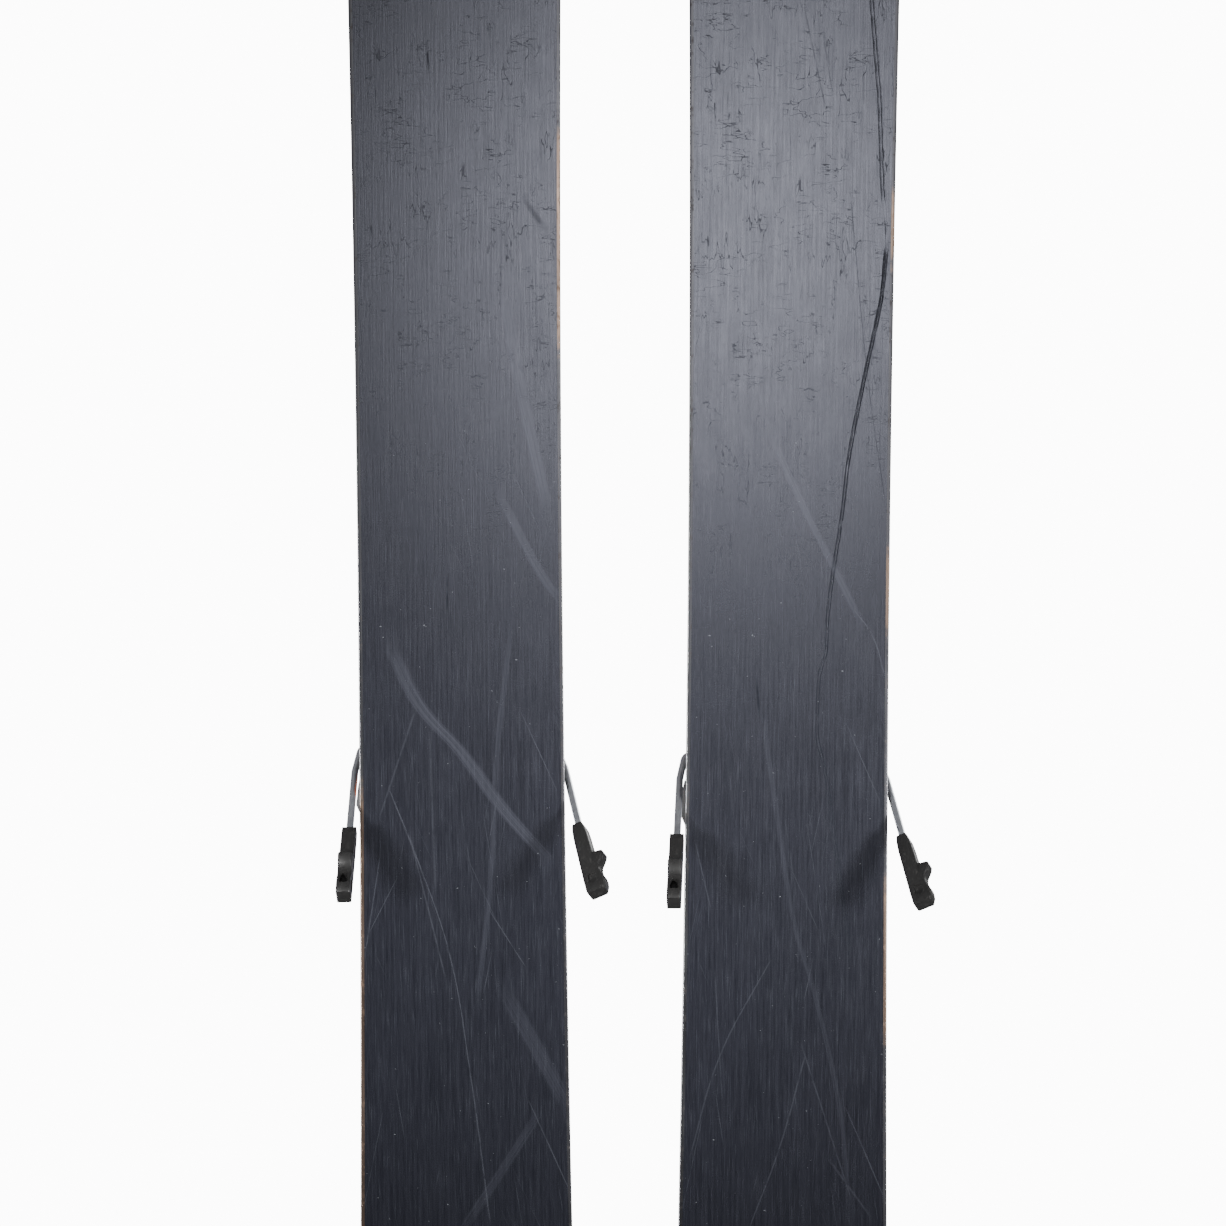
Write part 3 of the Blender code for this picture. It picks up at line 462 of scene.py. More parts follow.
def base_material(word):
    """Sintered polyethylene: stone-ground along its length, scratched and smeared across it."""
    s = Surface(f"base_{word}", IOR=1.5, Specular_Tint=(0.83, 0.85, 1.0, 1.0))
    x, y, _ = s.split()
    grind = s.noise((760.0, 17.0, 1.0), detail=4.0, roughness=0.7)
    fine = s.noise((2600.0, 90.0, 1.0), detail=3.0, roughness=0.7)
    cloud = s.noise((22.0, 7.0, 1.0), detail=3.0)
    patches = s.noise((70.0, 40.0, 1.0), detail=4.0, roughness=0.65)
    grain = s.math("ADD", s.math("MULTIPLY", grind, 0.6), s.math("MULTIPLY", fine, 0.4))
    uneven = s.math("ADD", s.math("MULTIPLY", grain, 0.85), s.math("MULTIPLY", cloud, 0.15))
    ground = s.mix(s.range(uneven, 0.36, 0.64), GROUND_DARK, GROUND_PALE)
    threads = s.range(s.noise((1500.0, 42.0, 1.0), detail=2.0, roughness=0.6), 0.585, 0.72)
    ground = s.mix(s.math("MULTIPLY", threads, 0.4), ground, THREAD)

    kinds = {}
    for mark in MARKS[word]:
        kinds.setdefault(mark[0], []).append(mark_strength(s, x, y, mark))
    light = s.math("MULTIPLY", strongest(s, kinds["smear"]), 0.62)
    back = s.range(y, -0.02, -0.22, 0.25, 1.0)
    slants = ((9.0, 0.4), (-12.0, 1.9), (24.0, 3.1))
    worn = strongest(s, [fine_scratches(s, angle, seed) for angle, seed in slants])
    scratch = strongest(s, kinds["scratch"] + [s.math("MULTIPLY", worn, s.math("MULTIPLY", back, 0.8))])
    # Dark marks, and the painted shade along the gouge's grooves.
    dark = strongest(s, kinds["dark"] + kinds.get("gouge", []))
    forward = s.range(y, -0.2, 0.12, 0.25, 1.0)
    crack = strongest(s, [
        hairlines(s, (38.0, 80.0, 1.0), 0.31, 0.007, 0.52),
        hairlines(s, (24.0, 120.0, 1.0), 2.17, 0.008, 0.50),
        hairlines(s, (95.0, 18.0, 1.0), 5.43, 0.008, 0.52),
    ])
    crack = s.math("MULTIPLY", crack, forward)
    specks = s.range(s.noise(520.0, detail=1.0), 0.79, 0.83)

    colour = s.mix(light, ground, SMEAR)
    colour = s.mix(s.math("MULTIPLY", scratch, 0.5), colour, SCRATCH)
    colour = s.mix(s.math("MULTIPLY", specks, 0.35), colour, SPECK)
    # Cracks, dark marks and the gouge's painted shade all take the darkest colour.
    marks_cracks_and_gouge_shade = s.math("MAXIMUM", dark, s.math("MULTIPLY", crack, 0.4))
    colour = s.mix(s.math("MULTIPLY", marks_cracks_and_gouge_shade, 0.8), colour, CRACK_MARK_AND_SHADE)
    rough = s.math("ADD", s.range(grain, 0.34, 0.66, 0.20, 0.28), s.range(patches, 0.3, 0.7, -0.014, 0.014))
    rough = s.math("ADD", rough, s.math("MULTIPLY", strongest(s, [dark, crack]), 0.12))
    height = s.math("SUBTRACT", s.math("ADD", grain, s.math("MULTIPLY", patches, 0.25)),
                    s.math("MULTIPLY", crack, 0.12))
    height = s.math("SUBTRACT", height, s.math("MULTIPLY", s.math("MAXIMUM", scratch, dark), 0.3))
    shine = s.math("MULTIPLY_ADD", s.math("MAXIMUM", dark, s.math("MULTIPLY", crack, 0.33)), -0.34, 0.5)
    return s.finish(Base_Color=colour, Roughness=rough, Specular_IOR_Level=shine,
                    Normal=s.bump(height, 0.22, 0.0002))


def steel_material(name, colour, rough, stretch, streak=0.10):
    """Drawn or ground steel: fine lines along one axis, a few dull spots."""
    s = Surface(name, Metallic=1.0)
    lines = s.noise(stretch, detail=2.0)
    spots = s.noise(260.0, detail=4.0, roughness=0.7)
    dull = s.range(spots, 0.52, 0.72)
    shade = s.mix(lines, tuple(c * 0.86 for c in colour), colour)
    shade = s.mix(s.math("MULTIPLY", dull, 0.45), shade, tuple(c * 0.45 for c in colour))
    roughness = s.math("ADD", s.range(lines, 0.25, 0.75, rough - streak, rough + streak),
                       s.math("MULTIPLY", dull, 0.18))
    return s.finish(Base_Color=shade, Roughness=roughness, Normal=s.bump(lines, 0.10, 0.0002))


def plastic_material(name, colour, rough, worn, wear=0.35):
    """Moulded nylon: a fine spark-eroded grain, faint flow marks and paler rubbed places."""
    s = Surface(name, IOR=1.48)
    pebble = s.noise(2400.0, detail=3.0, roughness=0.7)
    flow = s.noise((60.0, 25.0, 60.0), detail=3.0, distortion=0.6)
    places = s.noise((420.0, 160.0, 420.0), detail=4.0, roughness=0.7)
    rubbed = s.math("MULTIPLY", s.range(places, 0.56, 0.78), wear)
    shade = s.mix(flow, tuple(c * 0.8 for c in colour), tuple(min(1.0, c * 1.25) for c in colour))
    shade = s.mix(rubbed, shade, worn)
    roughness = s.math("ADD", s.range(pebble, 0.3, 0.7, rough - 0.06, rough + 0.06),
                       s.math("MULTIPLY", rubbed, 0.2))
    return s.finish(Base_Color=shade, Roughness=roughness, Normal=s.bump(pebble, 0.22, 0.0001))


def wood_material():
    """Laminated poplar, seen only where the ski would be cut open."""
    s = Surface("core_poplar", Roughness=0.65)
    rings = s.noise((220.0, 6.0, 220.0), detail=4.0, distortion=0.8)
    pores = s.noise((1500.0, 40.0, 1500.0), detail=2.0)
    shade = s.mix(s.range(rings, 0.3, 0.7), (0.44, 0.29, 0.15), (0.68, 0.50, 0.31))
    return s.finish(Base_Color=shade, Normal=s.bump(pores, 0.2, 0.0002))


BLACK, DEEP_RED = (0.014, 0.014, 0.016), (0.23, 0.018, 0.014)
ORANGE, TAN = (0.62, 0.13, 0.03), (0.42, 0.25, 0.14)

# Coloured stretches of the sidewalls: (which side of the ski, from y, to y, colour)
WALL_BANDS = {
    "right": [(1, -330.0, -214.0, ORANGE), (1, -470.0, -330.0, TAN), (-1, 30.0, 150.0, DEEP_RED)],
    "left": [(-1, 88.0, 124.0, DEEP_RED), (-1, -118.0, -78.0, ORANGE), (-1, -350.0, -262.0, ORANGE),
             (1, 300.0, 420.0, DEEP_RED)],
}


def coloured_bands(s, word, colour, strength, film=None):
    """Lays the ski's coloured stretches over a colour, with ragged ends."""
    x, y, _ = s.split()
    ragged = s.math("MULTIPLY", s.math("SUBTRACT", s.noise(260.0, detail=3.0), 0.5), 0.03)
    edge = s.math("ADD", y, ragged)
    for side, start, end, shade in WALL_BANDS[word]:
        here = s.range(x, 0.0, side * 0.002)
        begun = s.range(edge, (start - 6.0) * MM, (start + 6.0) * MM)
        ended = s.range(edge, (end + 6.0) * MM, (end - 6.0) * MM)
        held = s.math("MULTIPLY", here, s.math("MULTIPLY", begun, ended))
        colour = s.mix(s.math("MULTIPLY", held, strength), colour, film or shade)
    return colour


def edge_material(word):
    """Edge steel: ground faces painted dark and worn corners painted pale, a painted shade and a painted
    highlight chosen by how far the surface leans from flat; rusty spots and a tan film in a few places.
    """
    s = Surface(f"edge_steel_{word}", Metallic=1.0)
    lines = s.noise((900.0, 22.0, 900.0), detail=3.0)
    spots = s.range(s.noise(210.0, detail=4.0, roughness=0.7), 0.55, 0.72)
    # Painted highlight and painted shade: corners that lean away from flat get a pale colour, flat faces a
    # dark one.
    _, _, upright = s.split(s.add("ShaderNodeNewGeometry").outputs["Normal"])
    corner_painted_highlight = s.range(s.math("ABSOLUTE", upright), 0.985, 0.80)
    face = s.mix(lines, (0.045, 0.045, 0.051), (0.085, 0.085, 0.092))
    colour = s.mix(corner_painted_highlight, face, (0.42, 0.42, 0.43))
    colour = s.mix(s.math("MULTIPLY", spots, 0.5), colour, (0.07, 0.055, 0.045))
    colour = coloured_bands(s, word, colour, 0.25, TAN)
    rough = s.math("ADD", s.range(lines, 0.25, 0.75, 0.26, 0.40), s.math("MULTIPLY", spots, 0.2))
    return s.finish(Base_Color=colour, Roughness=rough, Normal=s.bump(lines, 0.12, 0.0002))


def wall_material(word):
    """A milled ABS sidewall, black with printed-through stretches of the top sheet's colours."""
    s = Surface(f"sidewall_{word}", IOR=1.5)
    milled = s.noise((30.0, 900.0, 2200.0), detail=2.0)
    colour = s.mix(milled, (0.016, 0.016, 0.018), (0.034, 0.034, 0.037))
    colour = coloured_bands(s, word, colour, 1.0)
    rough = s.range(milled, 0.3, 0.7, 0.36, 0.52)
    return s.finish(Base_Color=colour, Roughness=rough, Normal=s.bump(milled, 0.2, 0.0002))


FACETS = (11.0, 4.2, 1.0)  # the top sheet's facets, per metre


def topsheet_material():
    """A semi-gloss printed sheet: large overlapping facets, dark at the waist, warm towards tip and tail."""
    s = Surface("topsheet_print", IOR=1.5, Coat_Weight=0.35, Coat_Roughness=0.12)
    x, y, _ = s.split()
    cells = s.add("ShaderNodeTexVoronoi", voronoi_dimensions="2D", feature="F1")
    leaning = s.vector(s.math("MULTIPLY_ADD", y, 0.35, x), y)
    s.feed(cells.inputs["Vector"], s.scaled(FACETS, leaning))
    cells.inputs["Scale"].default_value = 1.0
    pick = s.add("ShaderNodeSeparateColor")
    s.feed(pick.inputs[0], cells.outputs["Color"])
    facet, second = pick.outputs[0], pick.outputs[1]
    away = s.math("ABSOLUTE", s.math("SUBTRACT", y, WAIST_Y * MM))
    warm = s.range(s.math("MULTIPLY_ADD", facet, 0.42, away), 0.50, 0.86)
    hot = s.range(s.math("MULTIPLY_ADD", second, 0.5, away), 0.86, 1.1)
    colour = s.mix(s.range(second, 0.0, 1.0), BLACK, (0.040, 0.040, 0.045))
    colour = s.mix(warm, colour, DEEP_RED)
    colour = s.mix(hot, colour, ORANGE)
    seams = s.add("ShaderNodeTexVoronoi", voronoi_dimensions="2D", feature="DISTANCE_TO_EDGE")
    s.feed(seams.inputs["Vector"], s.scaled(FACETS, leaning))
    seams.inputs["Scale"].default_value = 1.0
    line = s.range(seams.outputs["Distance"], 0.028, 0.012)
    colour = s.mix(s.math("MULTIPLY", line, 0.5), colour, (0.33, 0.30, 0.28))
    weave = s.noise((2600.0, 2600.0, 100.0), detail=2.0)
    rubs = s.noise((480.0, 22.0, 10.0), detail=4.0, roughness=0.7)
    scuffs = s.math("MULTIPLY", s.range(rubs, 0.62, 0.78), 0.5)
    colour = s.mix(scuffs, colour, (0.19, 0.18, 0.18))
    rough = s.math("ADD", s.range(weave, 0.3, 0.7, 0.27, 0.36), s.math("MULTIPLY", scuffs, 0.35))
    return s.finish(Base_Color=colour, Roughness=rough, Normal=s.bump(weave, 0.12, 0.0001))


NYLON = plastic_material("nylon_black", (0.022, 0.022, 0.023), 0.42, (0.085, 0.085, 0.088))
FOOT_NYLON = plastic_material("nylon_foot", (0.0125, 0.0122, 0.0120), 0.34, (0.09, 0.088, 0.085), wear=0.45)
GREY_NYLON = plastic_material("nylon_grey", (0.13, 0.13, 0.14), 0.42, (0.24, 0.24, 0.25))
ORANGE_NYLON = plastic_material("nylon_orange", ORANGE, 0.38, (0.75, 0.34, 0.2))
ACETAL = plastic_material("acetal_white", (0.66, 0.66, 0.64), 0.30, (0.45, 0.44, 0.42))
WIRE_STEEL = steel_material("wire_zinc", (0.84, 0.87, 0.91), 0.33, (240.0, 240.0, 240.0), 0.05)
SCREW_STEEL = steel_material("screw_zinc", (0.52, 0.53, 0.55), 0.30, (500.0, 500.0, 500.0))
TOP_PRINT = topsheet_material()
POPLAR = wood_material()


# --- pieces ---------------------------------------------------------------------------------------

def piece(name, mesh, word, body, replaced, material, flat_above=38.0):
    """Puts a mesh drawn in a ski's frame, in metres, on that ski, and lets it ride on a body."""
    obj = bpy.data.objects.new(name, mesh)
    bpy.context.scene.collection.objects.link(obj)
    obj.matrix_world = ski_matrix(word)
    mesh.materials.clear()
    mesh.materials.append(material)
    mesh.shade_smooth()
    mesh.set_sharp_from_angle(angle=math.radians(flat_above))
    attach(obj, f"{word}_{body}")
    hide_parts(*[f"{word}_ski_{node}" for node in replaced])


def ring_mesh(name, rings):
    """A closed mesh through rings of points in millimetres."""
    bm = bmesh.new()
    made = [[bm.verts.new(Vector(p) * MM) for p in ring] for ring in rings]
    for near, far in zip(made, made[1:]):
        for k in range(len(near)):
            j = (k + 1) % len(near)
            bm.faces.new((near[k], near[j], far[j], far[k]))
    bm.faces.new(made[0][::-1])
    bm.faces.new(made[-1])
    bmesh.ops.recalc_face_normals(bm, faces=bm.faces)
    mesh = bpy.data.meshes.new(name)
    bm.to_mesh(mesh)
    bm.free()
    return mesh


def spans(stations, section):
    """Rings for a layer that reaches across the ski; section gives (inset, height) from the bottom up."""
    rings = []
    for station in stations:
        half = [on_ski(*inset(station, distance), height) for distance, height in section(station[0][1])]
        rings.append(half + [(-x, y, z) for x, y, z in reversed(half)])
    return rings


def strips(stations, side, section):
    """Rings for a layer along one side of the ski."""
    rings = []
    for station in stations:
        ring = [on_ski(*inset(station, distance), height) for distance, height in section(station[0][1])]
        rings.append([(side * x, y, z) for x, y, z in ring])
    return rings


# --- the bases ------------------------------------------------------------------------------------

def base_rows():
    """The y of each row of the base's grid: close together where the base is marked, and at its ends."""
    first, last = inset(STATIONS[0], EDGE_WIDTH)[1], inset(STATIONS[-1], EDGE_WIDTH)[1]
    rows = [first + (TAIL_WIDE_Y - first) * (1 - math.cos(math.radians(90 * k / 16))) for k in range(16)]
    y = TAIL_WIDE_Y
    while y < SHOVEL_Y:
        rows.append(y)
        y += FINE_ROW if MARKED_REAR_Y < y < MARKED_FRONT_Y else COARSE_ROW
    rows += [SHOVEL_Y + (last - SHOVEL_Y) * math.sin(math.radians(90 * k / 30)) for k in range(31)]
    return rows


def gouge_height(word, y, offset):
    """How far the running face is pushed in (+) or thrown up as a burr (-), near the gouge's course."""
    total = 0.0
    for start, end, depth, lines in GOUGE_CUTS[word]:
        held = smooth((y - start) / 7.0) * smooth((end - y) / 7.0)
        if held <= 0.0:
            continue
        torn = 0.78 + 0.22 * math.sin(y * 0.83) * math.sin(y * 0.31 + 1.3)
        for line in lines:
            from_line = (offset - line - 0.12 * math.sin(y * 0.47 + line)) / 0.27
            groove = math.exp(-from_line * from_line)
            burr = 0.14 * math.exp(-((abs(from_line) - 2.1) / 0.7) ** 2)
            total += depth * held * torn * (groove - burr)
    return total


def base_columns(word, y, half):
    """The x of each column at a row, gathered round the gouge's course."""
    course = along_points(GOUGE_COURSE[word], y)
    margin = GOUGE_OFFSETS[-1] + 0.15
    squeeze = min(1.0, half / (3 * margin))
    course = min(max(course, -half + margin * squeeze), half - margin * squeeze)
    near = [course + offset * squeeze for offset in GOUGE_OFFSETS]
    left = [-half + (near[0] + half) * k / 9 for k in range(9)]
    right = [near[-1] + (half - near[-1]) * (k + 1) / 9 for k in range(9)]
    return left + near + right, course


def base_mesh(word):
    """The running face as a fine grid with the gouge cut into it, and a rim turned up beside the edges."""
    rim = [inset(station, EDGE_WIDTH + JOIN) for station in STATIONS]
    bm = bmesh.new()
    rows = []
    for y in base_rows():
        half = max(along_points(rim, y), 0.1)
        columns, course = base_columns(word, y, half)
        row = []
        for x in columns:
            depth = gouge_height(word, y, x - course)
            row.append(bm.verts.new(Vector(on_ski(x, y, depth)) * MM))
        rows.append(row)
    for near, far in zip(rows, rows[1:]):
        for k in range(len(near) - 1):
            bm.faces.new((near[k], far[k], far[k + 1], near[k + 1]))
    border = [e for e in bm.edges if e.is_boundary]
    made = bmesh.ops.extrude_edge_only(bm, edges=border)["geom"]
    raised = [g for g in made if isinstance(g, bmesh.types.BMVert)]
    bmesh.ops.translate(bm, verts=raised, vec=(0, 0, RIM_HEIGHT * MM))
    bmesh.ops.recalc_face_normals(bm, faces=bm.faces)
    middle = min(bm.faces, key=lambda f: (f.calc_center_median().xy - Vector((0.02, 0.3))).length)
    if middle.normal.z > 0:
        bmesh.ops.reverse_faces(bm, faces=bm.faces)
    mesh = bpy.data.meshes.new(f"{word}_base")
    bm.to_mesh(mesh)
    bm.free()
    return mesh


# --- edges, sidewalls, top sheet ------------------------------------------------------------------

def edge_section(y):
    """A steel edge with its running corner worn round."""
    r = EDGE_ROUND
    worn = [(r - r * math.sin(math.radians(a)), r - r * math.cos(math.radians(a))) for a in range(0, 91, 15)]
    return [(EDGE_WIDTH, 0.0)] + worn + [(0.0, EDGE_HEIGHT), (EDGE_WIDTH, EDGE_HEIGHT)]


def filling(y):
    return EDGE_HEIGHT + JOIN, thickness(y) - TOP_SHEET - JOIN


def wall_section(y):
    """A sidewall that leans in, with a step just over the edge where it was milled back."""
    low, high = filling(y)
    step = min(1.2, (high - low) * 0.3)
    lean = SIDEWALL_SLOPE
    return [(0.25, low), (0.3, low + step), (0.55, low + step + 0.25), (lean, high), (SIDEWALL_WIDTH, high),
            (SIDEWALL_WIDTH, low)]


def core_section(y):
    inside = SIDEWALL_WIDTH + JOIN
    low, high = filling(y)
    return [(inside, low), (inside, high)]


def spacer_section(y):
    low, high = filling(y)
    return [(0.25, low), (SIDEWALL_SLOPE, high)]


def top_section(y):
    high = thickness(y)
    low = high - TOP_SHEET
    return [(SIDEWALL_SLOPE, low), (SIDEWALL_SLOPE + 0.05, high - 0.35), (SIDEWALL_SLOPE + 0.4, high)]


def ski_body(word):
    in_body = [s for s in STATIONS if s[0][1] < CORE_END_Y]
    in_tip = [s for s in STATIONS if s[0][1] > SPACER_START_Y]
    piece(f"{word}_base", base_mesh(word), word, "ski", ["base"], base_material(word), 80.0)
    wall, steel = wall_material(word), edge_material(word)
    for side, name in ((1, "right"), (-1, "left")):
        mesh = ring_mesh("edge", strips(STATIONS, side, edge_section))
        piece(f"{word}_edge_{name}", mesh, word, "ski", [f"edge_{name}"], steel, 50.0)
        mesh = ring_mesh("wall", strips(in_body, side, wall_section))
        piece(f"{word}_sidewall_{name}", mesh, word, "ski", [f"sidewall_{name}"], wall)
    mesh = ring_mesh("core", spans(in_body, core_section))
    piece(f"{word}_core", mesh, word, "ski", ["core"], POPLAR)
    mesh = ring_mesh("spacer", spans(in_tip, spacer_section))
    piece(f"{word}_tip_spacer", mesh, word, "ski", ["tip_spacer"], wall)
    mesh = ring_mesh("topsheet", spans(STATIONS, top_section))
    piece(f"{word}_topsheet", mesh, word, "ski", ["topsheet"], TOP_PRINT, 60.0)


# --- the brakes -----------------------------------------------------------------------------------

DROP = math.radians(ARM_DROP)
ARM_ALONG = Vector((0.0, -math.cos(DROP), -math.sin(DROP)))
ARM_FACE = Vector((0.0, math.sin(DROP), -math.cos(DROP)))
BAR = (BRAKE_PIVOT[0] + BAR_RADIUS * math.cos(math.radians(BAR_ANGLE)),
       BRAKE_PIVOT[1] + BAR_RADIUS * math.sin(math.radians(BAR_ANGLE)))


def arm_point(side, distance):
    """The centre of a brake arm's wire at a distance from the pivot axis."""
    x = ARM_BEND_X + ARM_SPLAY * (distance - ARM_BEND)
    return Vector((side * x, *BRAKE_PIVOT)) + ARM_ALONG * distance


def filleted(corners, radius, steps=8):
    """The corners of a path joined by arcs of about the given radius."""
    points = [Vector(corners[0])]
    for before, here, after in zip(corners, corners[1:], corners[2:]):
        before, here, after = Vector(before), Vector(here), Vector(after)
        to_before, to_after = (before - here).normalized(), (after - here).normalized()
        half_angle = to_before.angle(to_after) / 2
        shorter = min((before - here).length, (after - here).length)
        reach = min(radius / math.tan(half_angle), shorter * 0.45)
        start, end = here + to_before * reach, here + to_after * reach
        for k in range(steps + 1):
            t = k / steps
            points.append(start * (1 - t) ** 2 + here * 2 * t * (1 - t) + end * t ** 2)
    points.append(Vector(corners[-1]))
    return points


def tube_mesh(name, points, radius, sides=20):
    """A round tube along a path of millimetre points, with its rings turned as little as possible."""
    rings = []
    across = None
    for k, p in enumerate(points):
        before, after = points[max(k - 1, 0)], points[min(k + 1, len(points) - 1)]
        along = (Vector(after) - Vector(before)).normalized()
        across = along.orthogonal() if across is None else across - along * across.dot(along)
        across.normalize()
        other = along.cross(across)
        rings.append([Vector(p) + across * radius * math.cos(2 * math.pi * j / sides)
                      + other * radius * math.sin(2 * math.pi * j / sides) for j in range(sides)])
    return ring_mesh(name, rings)


def brake_wire_mesh():
    half = [(0.0, *BAR), (LEG_X, *BAR), (LEG_X, *BRAKE_PIVOT), (PIVOT_HALF, *BRAKE_PIVOT),
            arm_point(1, ARM_BEND), arm_point(1, WIRE_END)]
    right = filleted([Vector(p) for p in half], WIRE_FILLET)
    left = [Vector((-p.x, p.y, p.z)) for p in right]
    return tube_mesh("brake_wire", left[:0:-1] + right, WIRE_RADIUS)


def solid_from(mesh, cutters, round_width):
    """The mesh with closed cutter meshes taken out of it and its sharp edges rounded."""
    made = []
    target = bpy.data.objects.new("target", mesh)
    bpy.context.scene.collection.objects.link(target)
    made.append(target)
    for cutter_mesh in cutters:
        cutter = bpy.data.objects.new("cutter", cutter_mesh)
        bpy.context.scene.collection.objects.link(cutter)
        made.append(cutter)
        modifier = target.modifiers.new("cut", "BOOLEAN")
        modifier.object = cutter
        modifier.operation = "DIFFERENCE"
        modifier.solver = "EXACT"
    bevel = target.modifiers.new("round", "BEVEL")
    bevel.width = round_width * MM
    bevel.segments = 2
    bevel.limit_method = "ANGLE"
    bevel.angle_limit = math.radians(28)
    bpy.context.view_layer.update()
    evaluated = target.evaluated_get(bpy.context.evaluated_depsgraph_get())
    result = bpy.data.meshes.new_from_object(evaluated)
    for obj in made:
        bpy.data.objects.remove(obj)
    return result


# A brake foot's side view, (along the wire, towards the teeth), from the wire's entry round to the back
FOOT_PROFILE = [
    (0.0, -2.5), (0.0, 2.7), (1.2, 3.2), (4.0, 3.9), (9.0, 4.3), (16.0, 4.5), (21.6, 4.8), (22.8, 5.2),
    (23.4, 6.6), (23.8, 10.2), (24.8, 10.6), (27.4, 9.7), (29.6, 8.2), (31.8, 6.7), (34.2, 6.2), (36.6, 6.5),
    (39.0, 7.4), (42.0, 7.9), (45.4, 7.6), (48.4, 6.2), (48.4, -3.4), (47.2, -3.9), (40.0, -4.1),
    (10.0, -4.1), (4.0, -3.8), (1.2, -3.0),
]


def brake_foot_mesh(side, twist):
    """The moulded foot on an arm's end: a barb, a scoop behind it, and two moulding pockets in its face."""
    start, end = arm_point(side, FOOT_START), arm_point(side, FOOT_START + FOOT_LENGTH)
    along = (end - start).normalized()
    outward = Vector((side, 0.0, 0.0))
    tooth = ARM_FACE * math.cos(math.radians(twist)) + outward * math.sin(math.radians(twist))
    tooth = (tooth - along * tooth.dot(along)).normalized()
    across = along.cross(tooth)

    def at(u, t, v):
        return start + along * u + tooth * t + across * v

    def prism(name, shape, low, high):
        return ring_mesh(name, [[at(u, t, v) for u, t in shape] for v in (low, high)])

    def well(name, shape, floor):
        """A cutter that goes into the toothed face: (u, v) points, with a smaller floor."""
        middle = (sum(u for u, _ in shape) / len(shape), sum(v for _, v in shape) / len(shape))
        rings = []
        for t, scale in ((floor, 0.72), (floor + 1.2, 0.9), (12.0, 1.25)):
            rings.append([at(middle[0] + (u - middle[0]) * scale, t, middle[1] + (v - middle[1]) * scale)
                          for u, v in shape])
        return ring_mesh(name, rings)

    body = []
    for v, shrink in ((-FOOT_HALF, 0.90), (-FOOT_HALF + 0.7, 1.0), (FOOT_HALF - 0.7, 1.0), (FOOT_HALF, 0.90)):
        body.append([at(u, t * shrink if abs(t) > 3.0 else t, v) for u, t in FOOT_PROFILE])
    oval = [(22.0 + 1.7 * math.cos(a), 1.9 * math.sin(a)) for a in (math.radians(30 * k) for k in range(12))]
    taper = [(34.6, -1.1), (36.0, -2.0), (42.0, -2.5), (42.6, -2.0), (42.6, 2.0), (42.0, 2.5), (36.0, 2.0),
             (34.6, 1.1)]
    cutters = [well("oval", oval, 2.6), well("taper", taper, 2.6)]
    side_well = [(36.4, -0.6), (41.8, -1.4), (43.0, 1.6), (41.6, 4.0), (37.6, 3.6)]
    for low, high in ((-FOOT_HALF - 1.0, -FOOT_HALF + 0.8), (FOOT_HALF - 0.8, FOOT_HALF + 1.0)):
        cutters.append(prism("side_well", side_well, low, high))
    return solid_from(ring_mesh("foot", body), cutters, FOOT_ROUND)


def brake(word):
    piece(f"{word}_brake_wire", brake_wire_mesh(), word, "brake", ["brake_wire"], WIRE_STEEL,
          60.0)
    for side, name in ((1, "right"), (-1, "left")):
        mesh = brake_foot_mesh(side, FOOT_TWIST[name])
        piece(f"{word}_brake_foot_{name}", mesh, word, "brake", [f"brake_foot_{name}"],
              FOOT_NYLON, 32.0)


# --- the bindings ---------------------------------------------------------------------------------

def refined(word, node, body, material, width):
    """A CAD node's own shape with its edges rounded off."""
    source = frame["nodes"][f"{word}_ski_{node}"]
    mesh = source.data.copy()
    bm = bmesh.new()
    bm.from_mesh(mesh)
    bmesh.ops.remove_doubles(bm, verts=bm.verts, dist=2e-6)
    bmesh.ops.dissolve_limit(bm, angle_limit=math.radians(1.0), verts=bm.verts, edges=bm.edges)
    bm.to_mesh(mesh)
    bm.free()
    mesh.transform(ski_matrix(word).inverted())
    result = solid_from(mesh, [], width)
    piece(f"{word}_{node}", result, word, body, [node], material, 34.0)


def binding(word):
    for node, body, slot, material, width in (
        ("toe_baseplate", "ski", "binding_plastic", NYLON, 0.7),
        ("toe_housing", "ski", "binding_plastic", NYLON, 0.8),
        ("toe_wing_right", "toe_wing_right", "binding_plastic", NYLON, 0.8),
        ("toe_wing_left", "toe_wing_left", "binding_plastic", NYLON, 0.8),
        ("afd_slider", "afd_slider", "slider", ACETAL, 0.5),
        ("toe_release_screw", "toe_release_screw", "grey_plastic", GREY_NYLON, 0.35),
        ("heel_track", "ski", "grey_plastic", GREY_NYLON, 0.3),
        ("heel_carriage", "heel_carriage", "binding_plastic", NYLON, 0.6),
        ("heel_pivot_pin", "heel_carriage", "bare_steel", SCREW_STEEL, 0.2),
        ("brake_plate", "heel_carriage", "binding_plastic", NYLON, 0.6),
        ("forward_pressure_screw", "forward_pressure_screw", "bare_steel", SCREW_STEEL, 0.2),
        ("heel_cup", "heel_cup", "binding_plastic", NYLON, 0.8),
        ("heel_release_screw", "heel_release_screw", "grey_plastic", GREY_NYLON, 0.35),
        ("heel_lever", "heel_lever", "heel_lever", ORANGE_NYLON, 0.7),
        ("brake_pedal", "brake_pedal", "binding_plastic", NYLON, 0.6),
        ("mount_screw_right", "ski", "bare_steel", SCREW_STEEL, 0.2),
        ("mount_screw_left", "ski", "bare_steel", SCREW_STEEL, 0.2),
    ):
        refined(word, node, body, material, width)
    for node in ("toe_spring", "heel_spring"):
        coil = frame["nodes"][f"{word}_ski_{node}"].data
        coil.materials.clear()
        coil.materials.append(WIRE_STEEL)


# --- floor, light and camera ----------------------------------------------------------------------

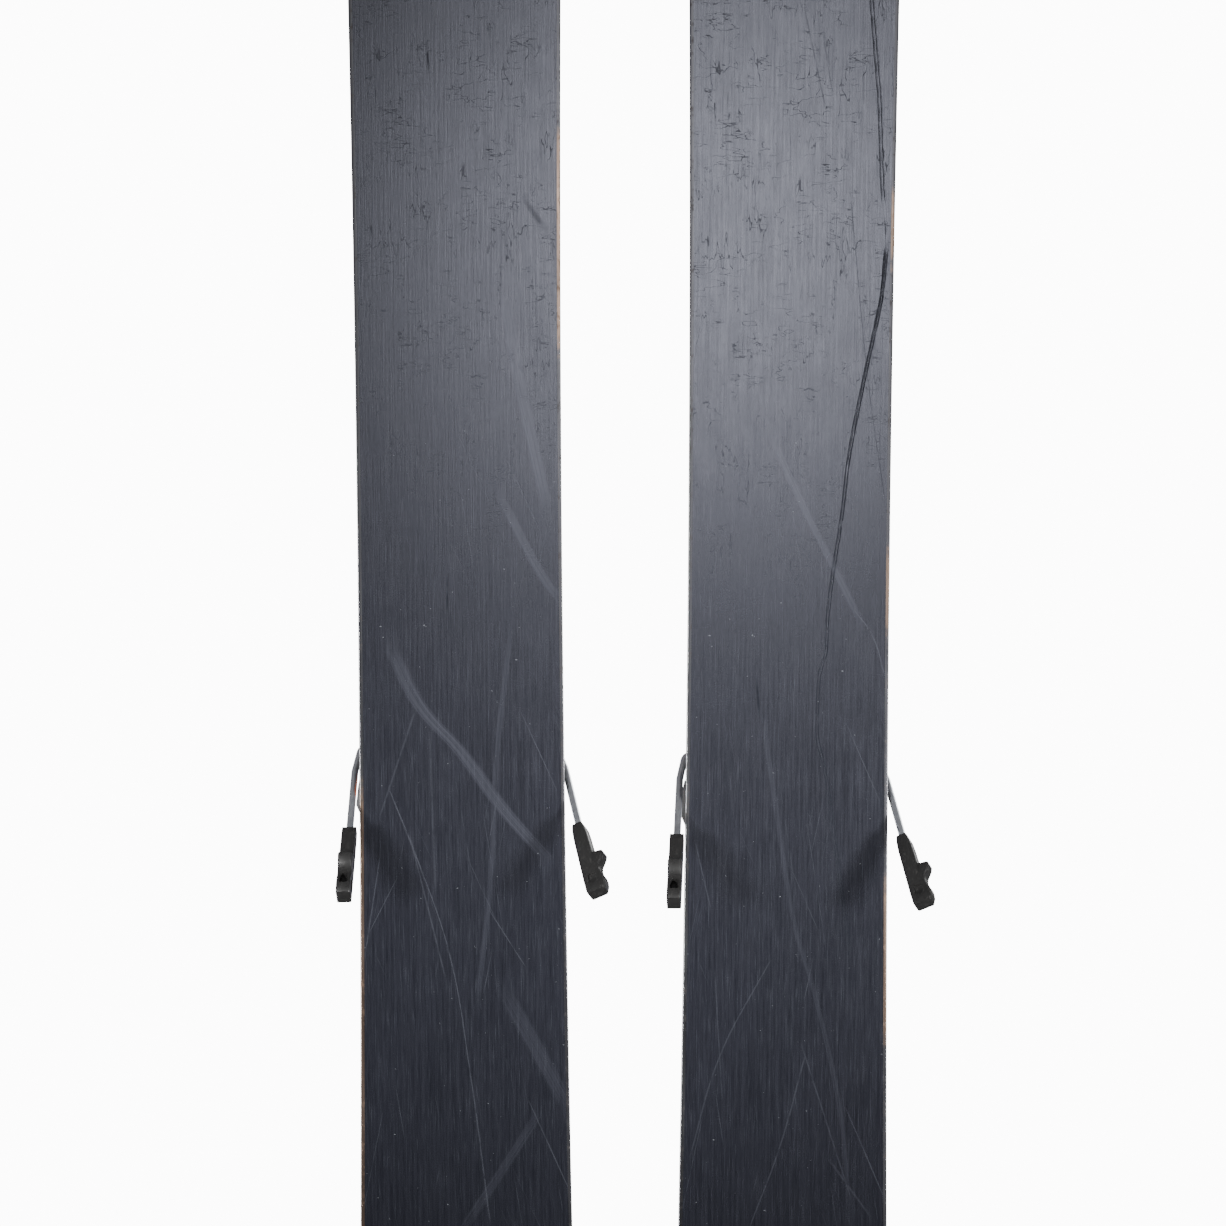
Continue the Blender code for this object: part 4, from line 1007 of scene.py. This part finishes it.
def floor():
    """A pale floor under the brake feet, seen only from above so that a camera may look up at the bases."""
    s = Surface("floor_pale", Roughness=0.8)
    grain = s.noise(14.0, detail=4.0)
    pale = s.finish(Base_Color=s.mix(grain, (0.74, 0.74, 0.74), (0.78, 0.78, 0.78)))
    behind = s.add("ShaderNodeNewGeometry").outputs["Backfacing"]
    clear = s.add("ShaderNodeBsdfTransparent")
    blend = s.add("ShaderNodeMixShader")
    s.links.new(behind, blend.inputs[0])
    s.links.new(s.shader.outputs[0], blend.inputs[1])
    s.links.new(clear.outputs[0], blend.inputs[2])
    s.links.new(blend.outputs[0], s.nodes["Material Output"].inputs[0])
    bm = bmesh.new()
    bmesh.ops.create_grid(bm, x_segments=1, y_segments=1, size=FLOOR_SIZE)
    mesh = bpy.data.meshes.new("floor")
    bm.to_mesh(mesh)
    bm.free()
    mesh.materials.append(pale)
    obj = bpy.data.objects.new("floor", mesh)
    bpy.context.scene.collection.objects.link(obj)
    obj.location.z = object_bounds()[0][2] - FLOOR_DROP
    obj.visible_shadow = False
    obj.visible_diffuse = False
    obj.visible_glossy = False
    obj.visible_transmission = False
    obj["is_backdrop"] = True


def world():
    """White behind the object for the camera, and a softer grey for what lights it."""
    made = bpy.data.worlds.new("studio")
    made.use_nodes = True
    nodes, links = made.node_tree.nodes, made.node_tree.links
    seen = nodes["Background"]
    seen.inputs[0].default_value = BACKDROP_COLOUR
    seen.inputs[1].default_value = BACKDROP_STRENGTH
    soft = nodes.new("ShaderNodeBackground")
    soft.inputs[0].default_value = SKY_COLOUR
    soft.inputs[1].default_value = SKY_STRENGTH
    path = nodes.new("ShaderNodeLightPath")
    blend = nodes.new("ShaderNodeMixShader")
    links.new(path.outputs["Is Camera Ray"], blend.inputs[0])
    links.new(soft.outputs[0], blend.inputs[1])
    links.new(seen.outputs[0], blend.inputs[2])
    links.new(blend.outputs[0], nodes["World Output"].inputs[0])
    bpy.context.scene.world = made


def lights():
    for name, place, target, size, power, spread in LIGHTS:
        light = bpy.data.lights.new(name, "AREA")
        light.shape = "DISK"
        light.size = size
        light.energy = power
        light.spread = math.radians(spread)
        obj = bpy.data.objects.new(name, light)
        bpy.context.scene.collection.objects.link(obj)
        obj.location = place
        obj.rotation_euler = (Vector(target) - Vector(place)).to_track_quat("-Z", "Y").to_euler()


def camera():
    data = bpy.data.cameras.new("camera")
    data.sensor_width = 36.0
    data.sensor_fit = "HORIZONTAL"
    data.angle = math.radians(CAMERA_FIELD)
    obj = bpy.data.objects.new("camera", data)
    bpy.context.scene.collection.objects.link(obj)
    yaw = math.radians(CAMERA_YAW)
    back = Vector((math.sin(yaw), 0.0, -math.cos(yaw)))
    up = Vector((0.0, 1.0, 0.0))
    right = up.cross(back).normalized()
    rotation = Matrix((right, back.cross(right), back)).transposed().to_4x4()
    obj.matrix_world = Matrix.Translation(Vector(CAMERA_TARGET) + back * CAMERA_DISTANCE) @ rotation
    bpy.context.scene.camera = obj


for ski in ("right", "left"):
    ski_body(ski)
    brake(ski)
    binding(ski)
floor()
world()
lights()
camera()
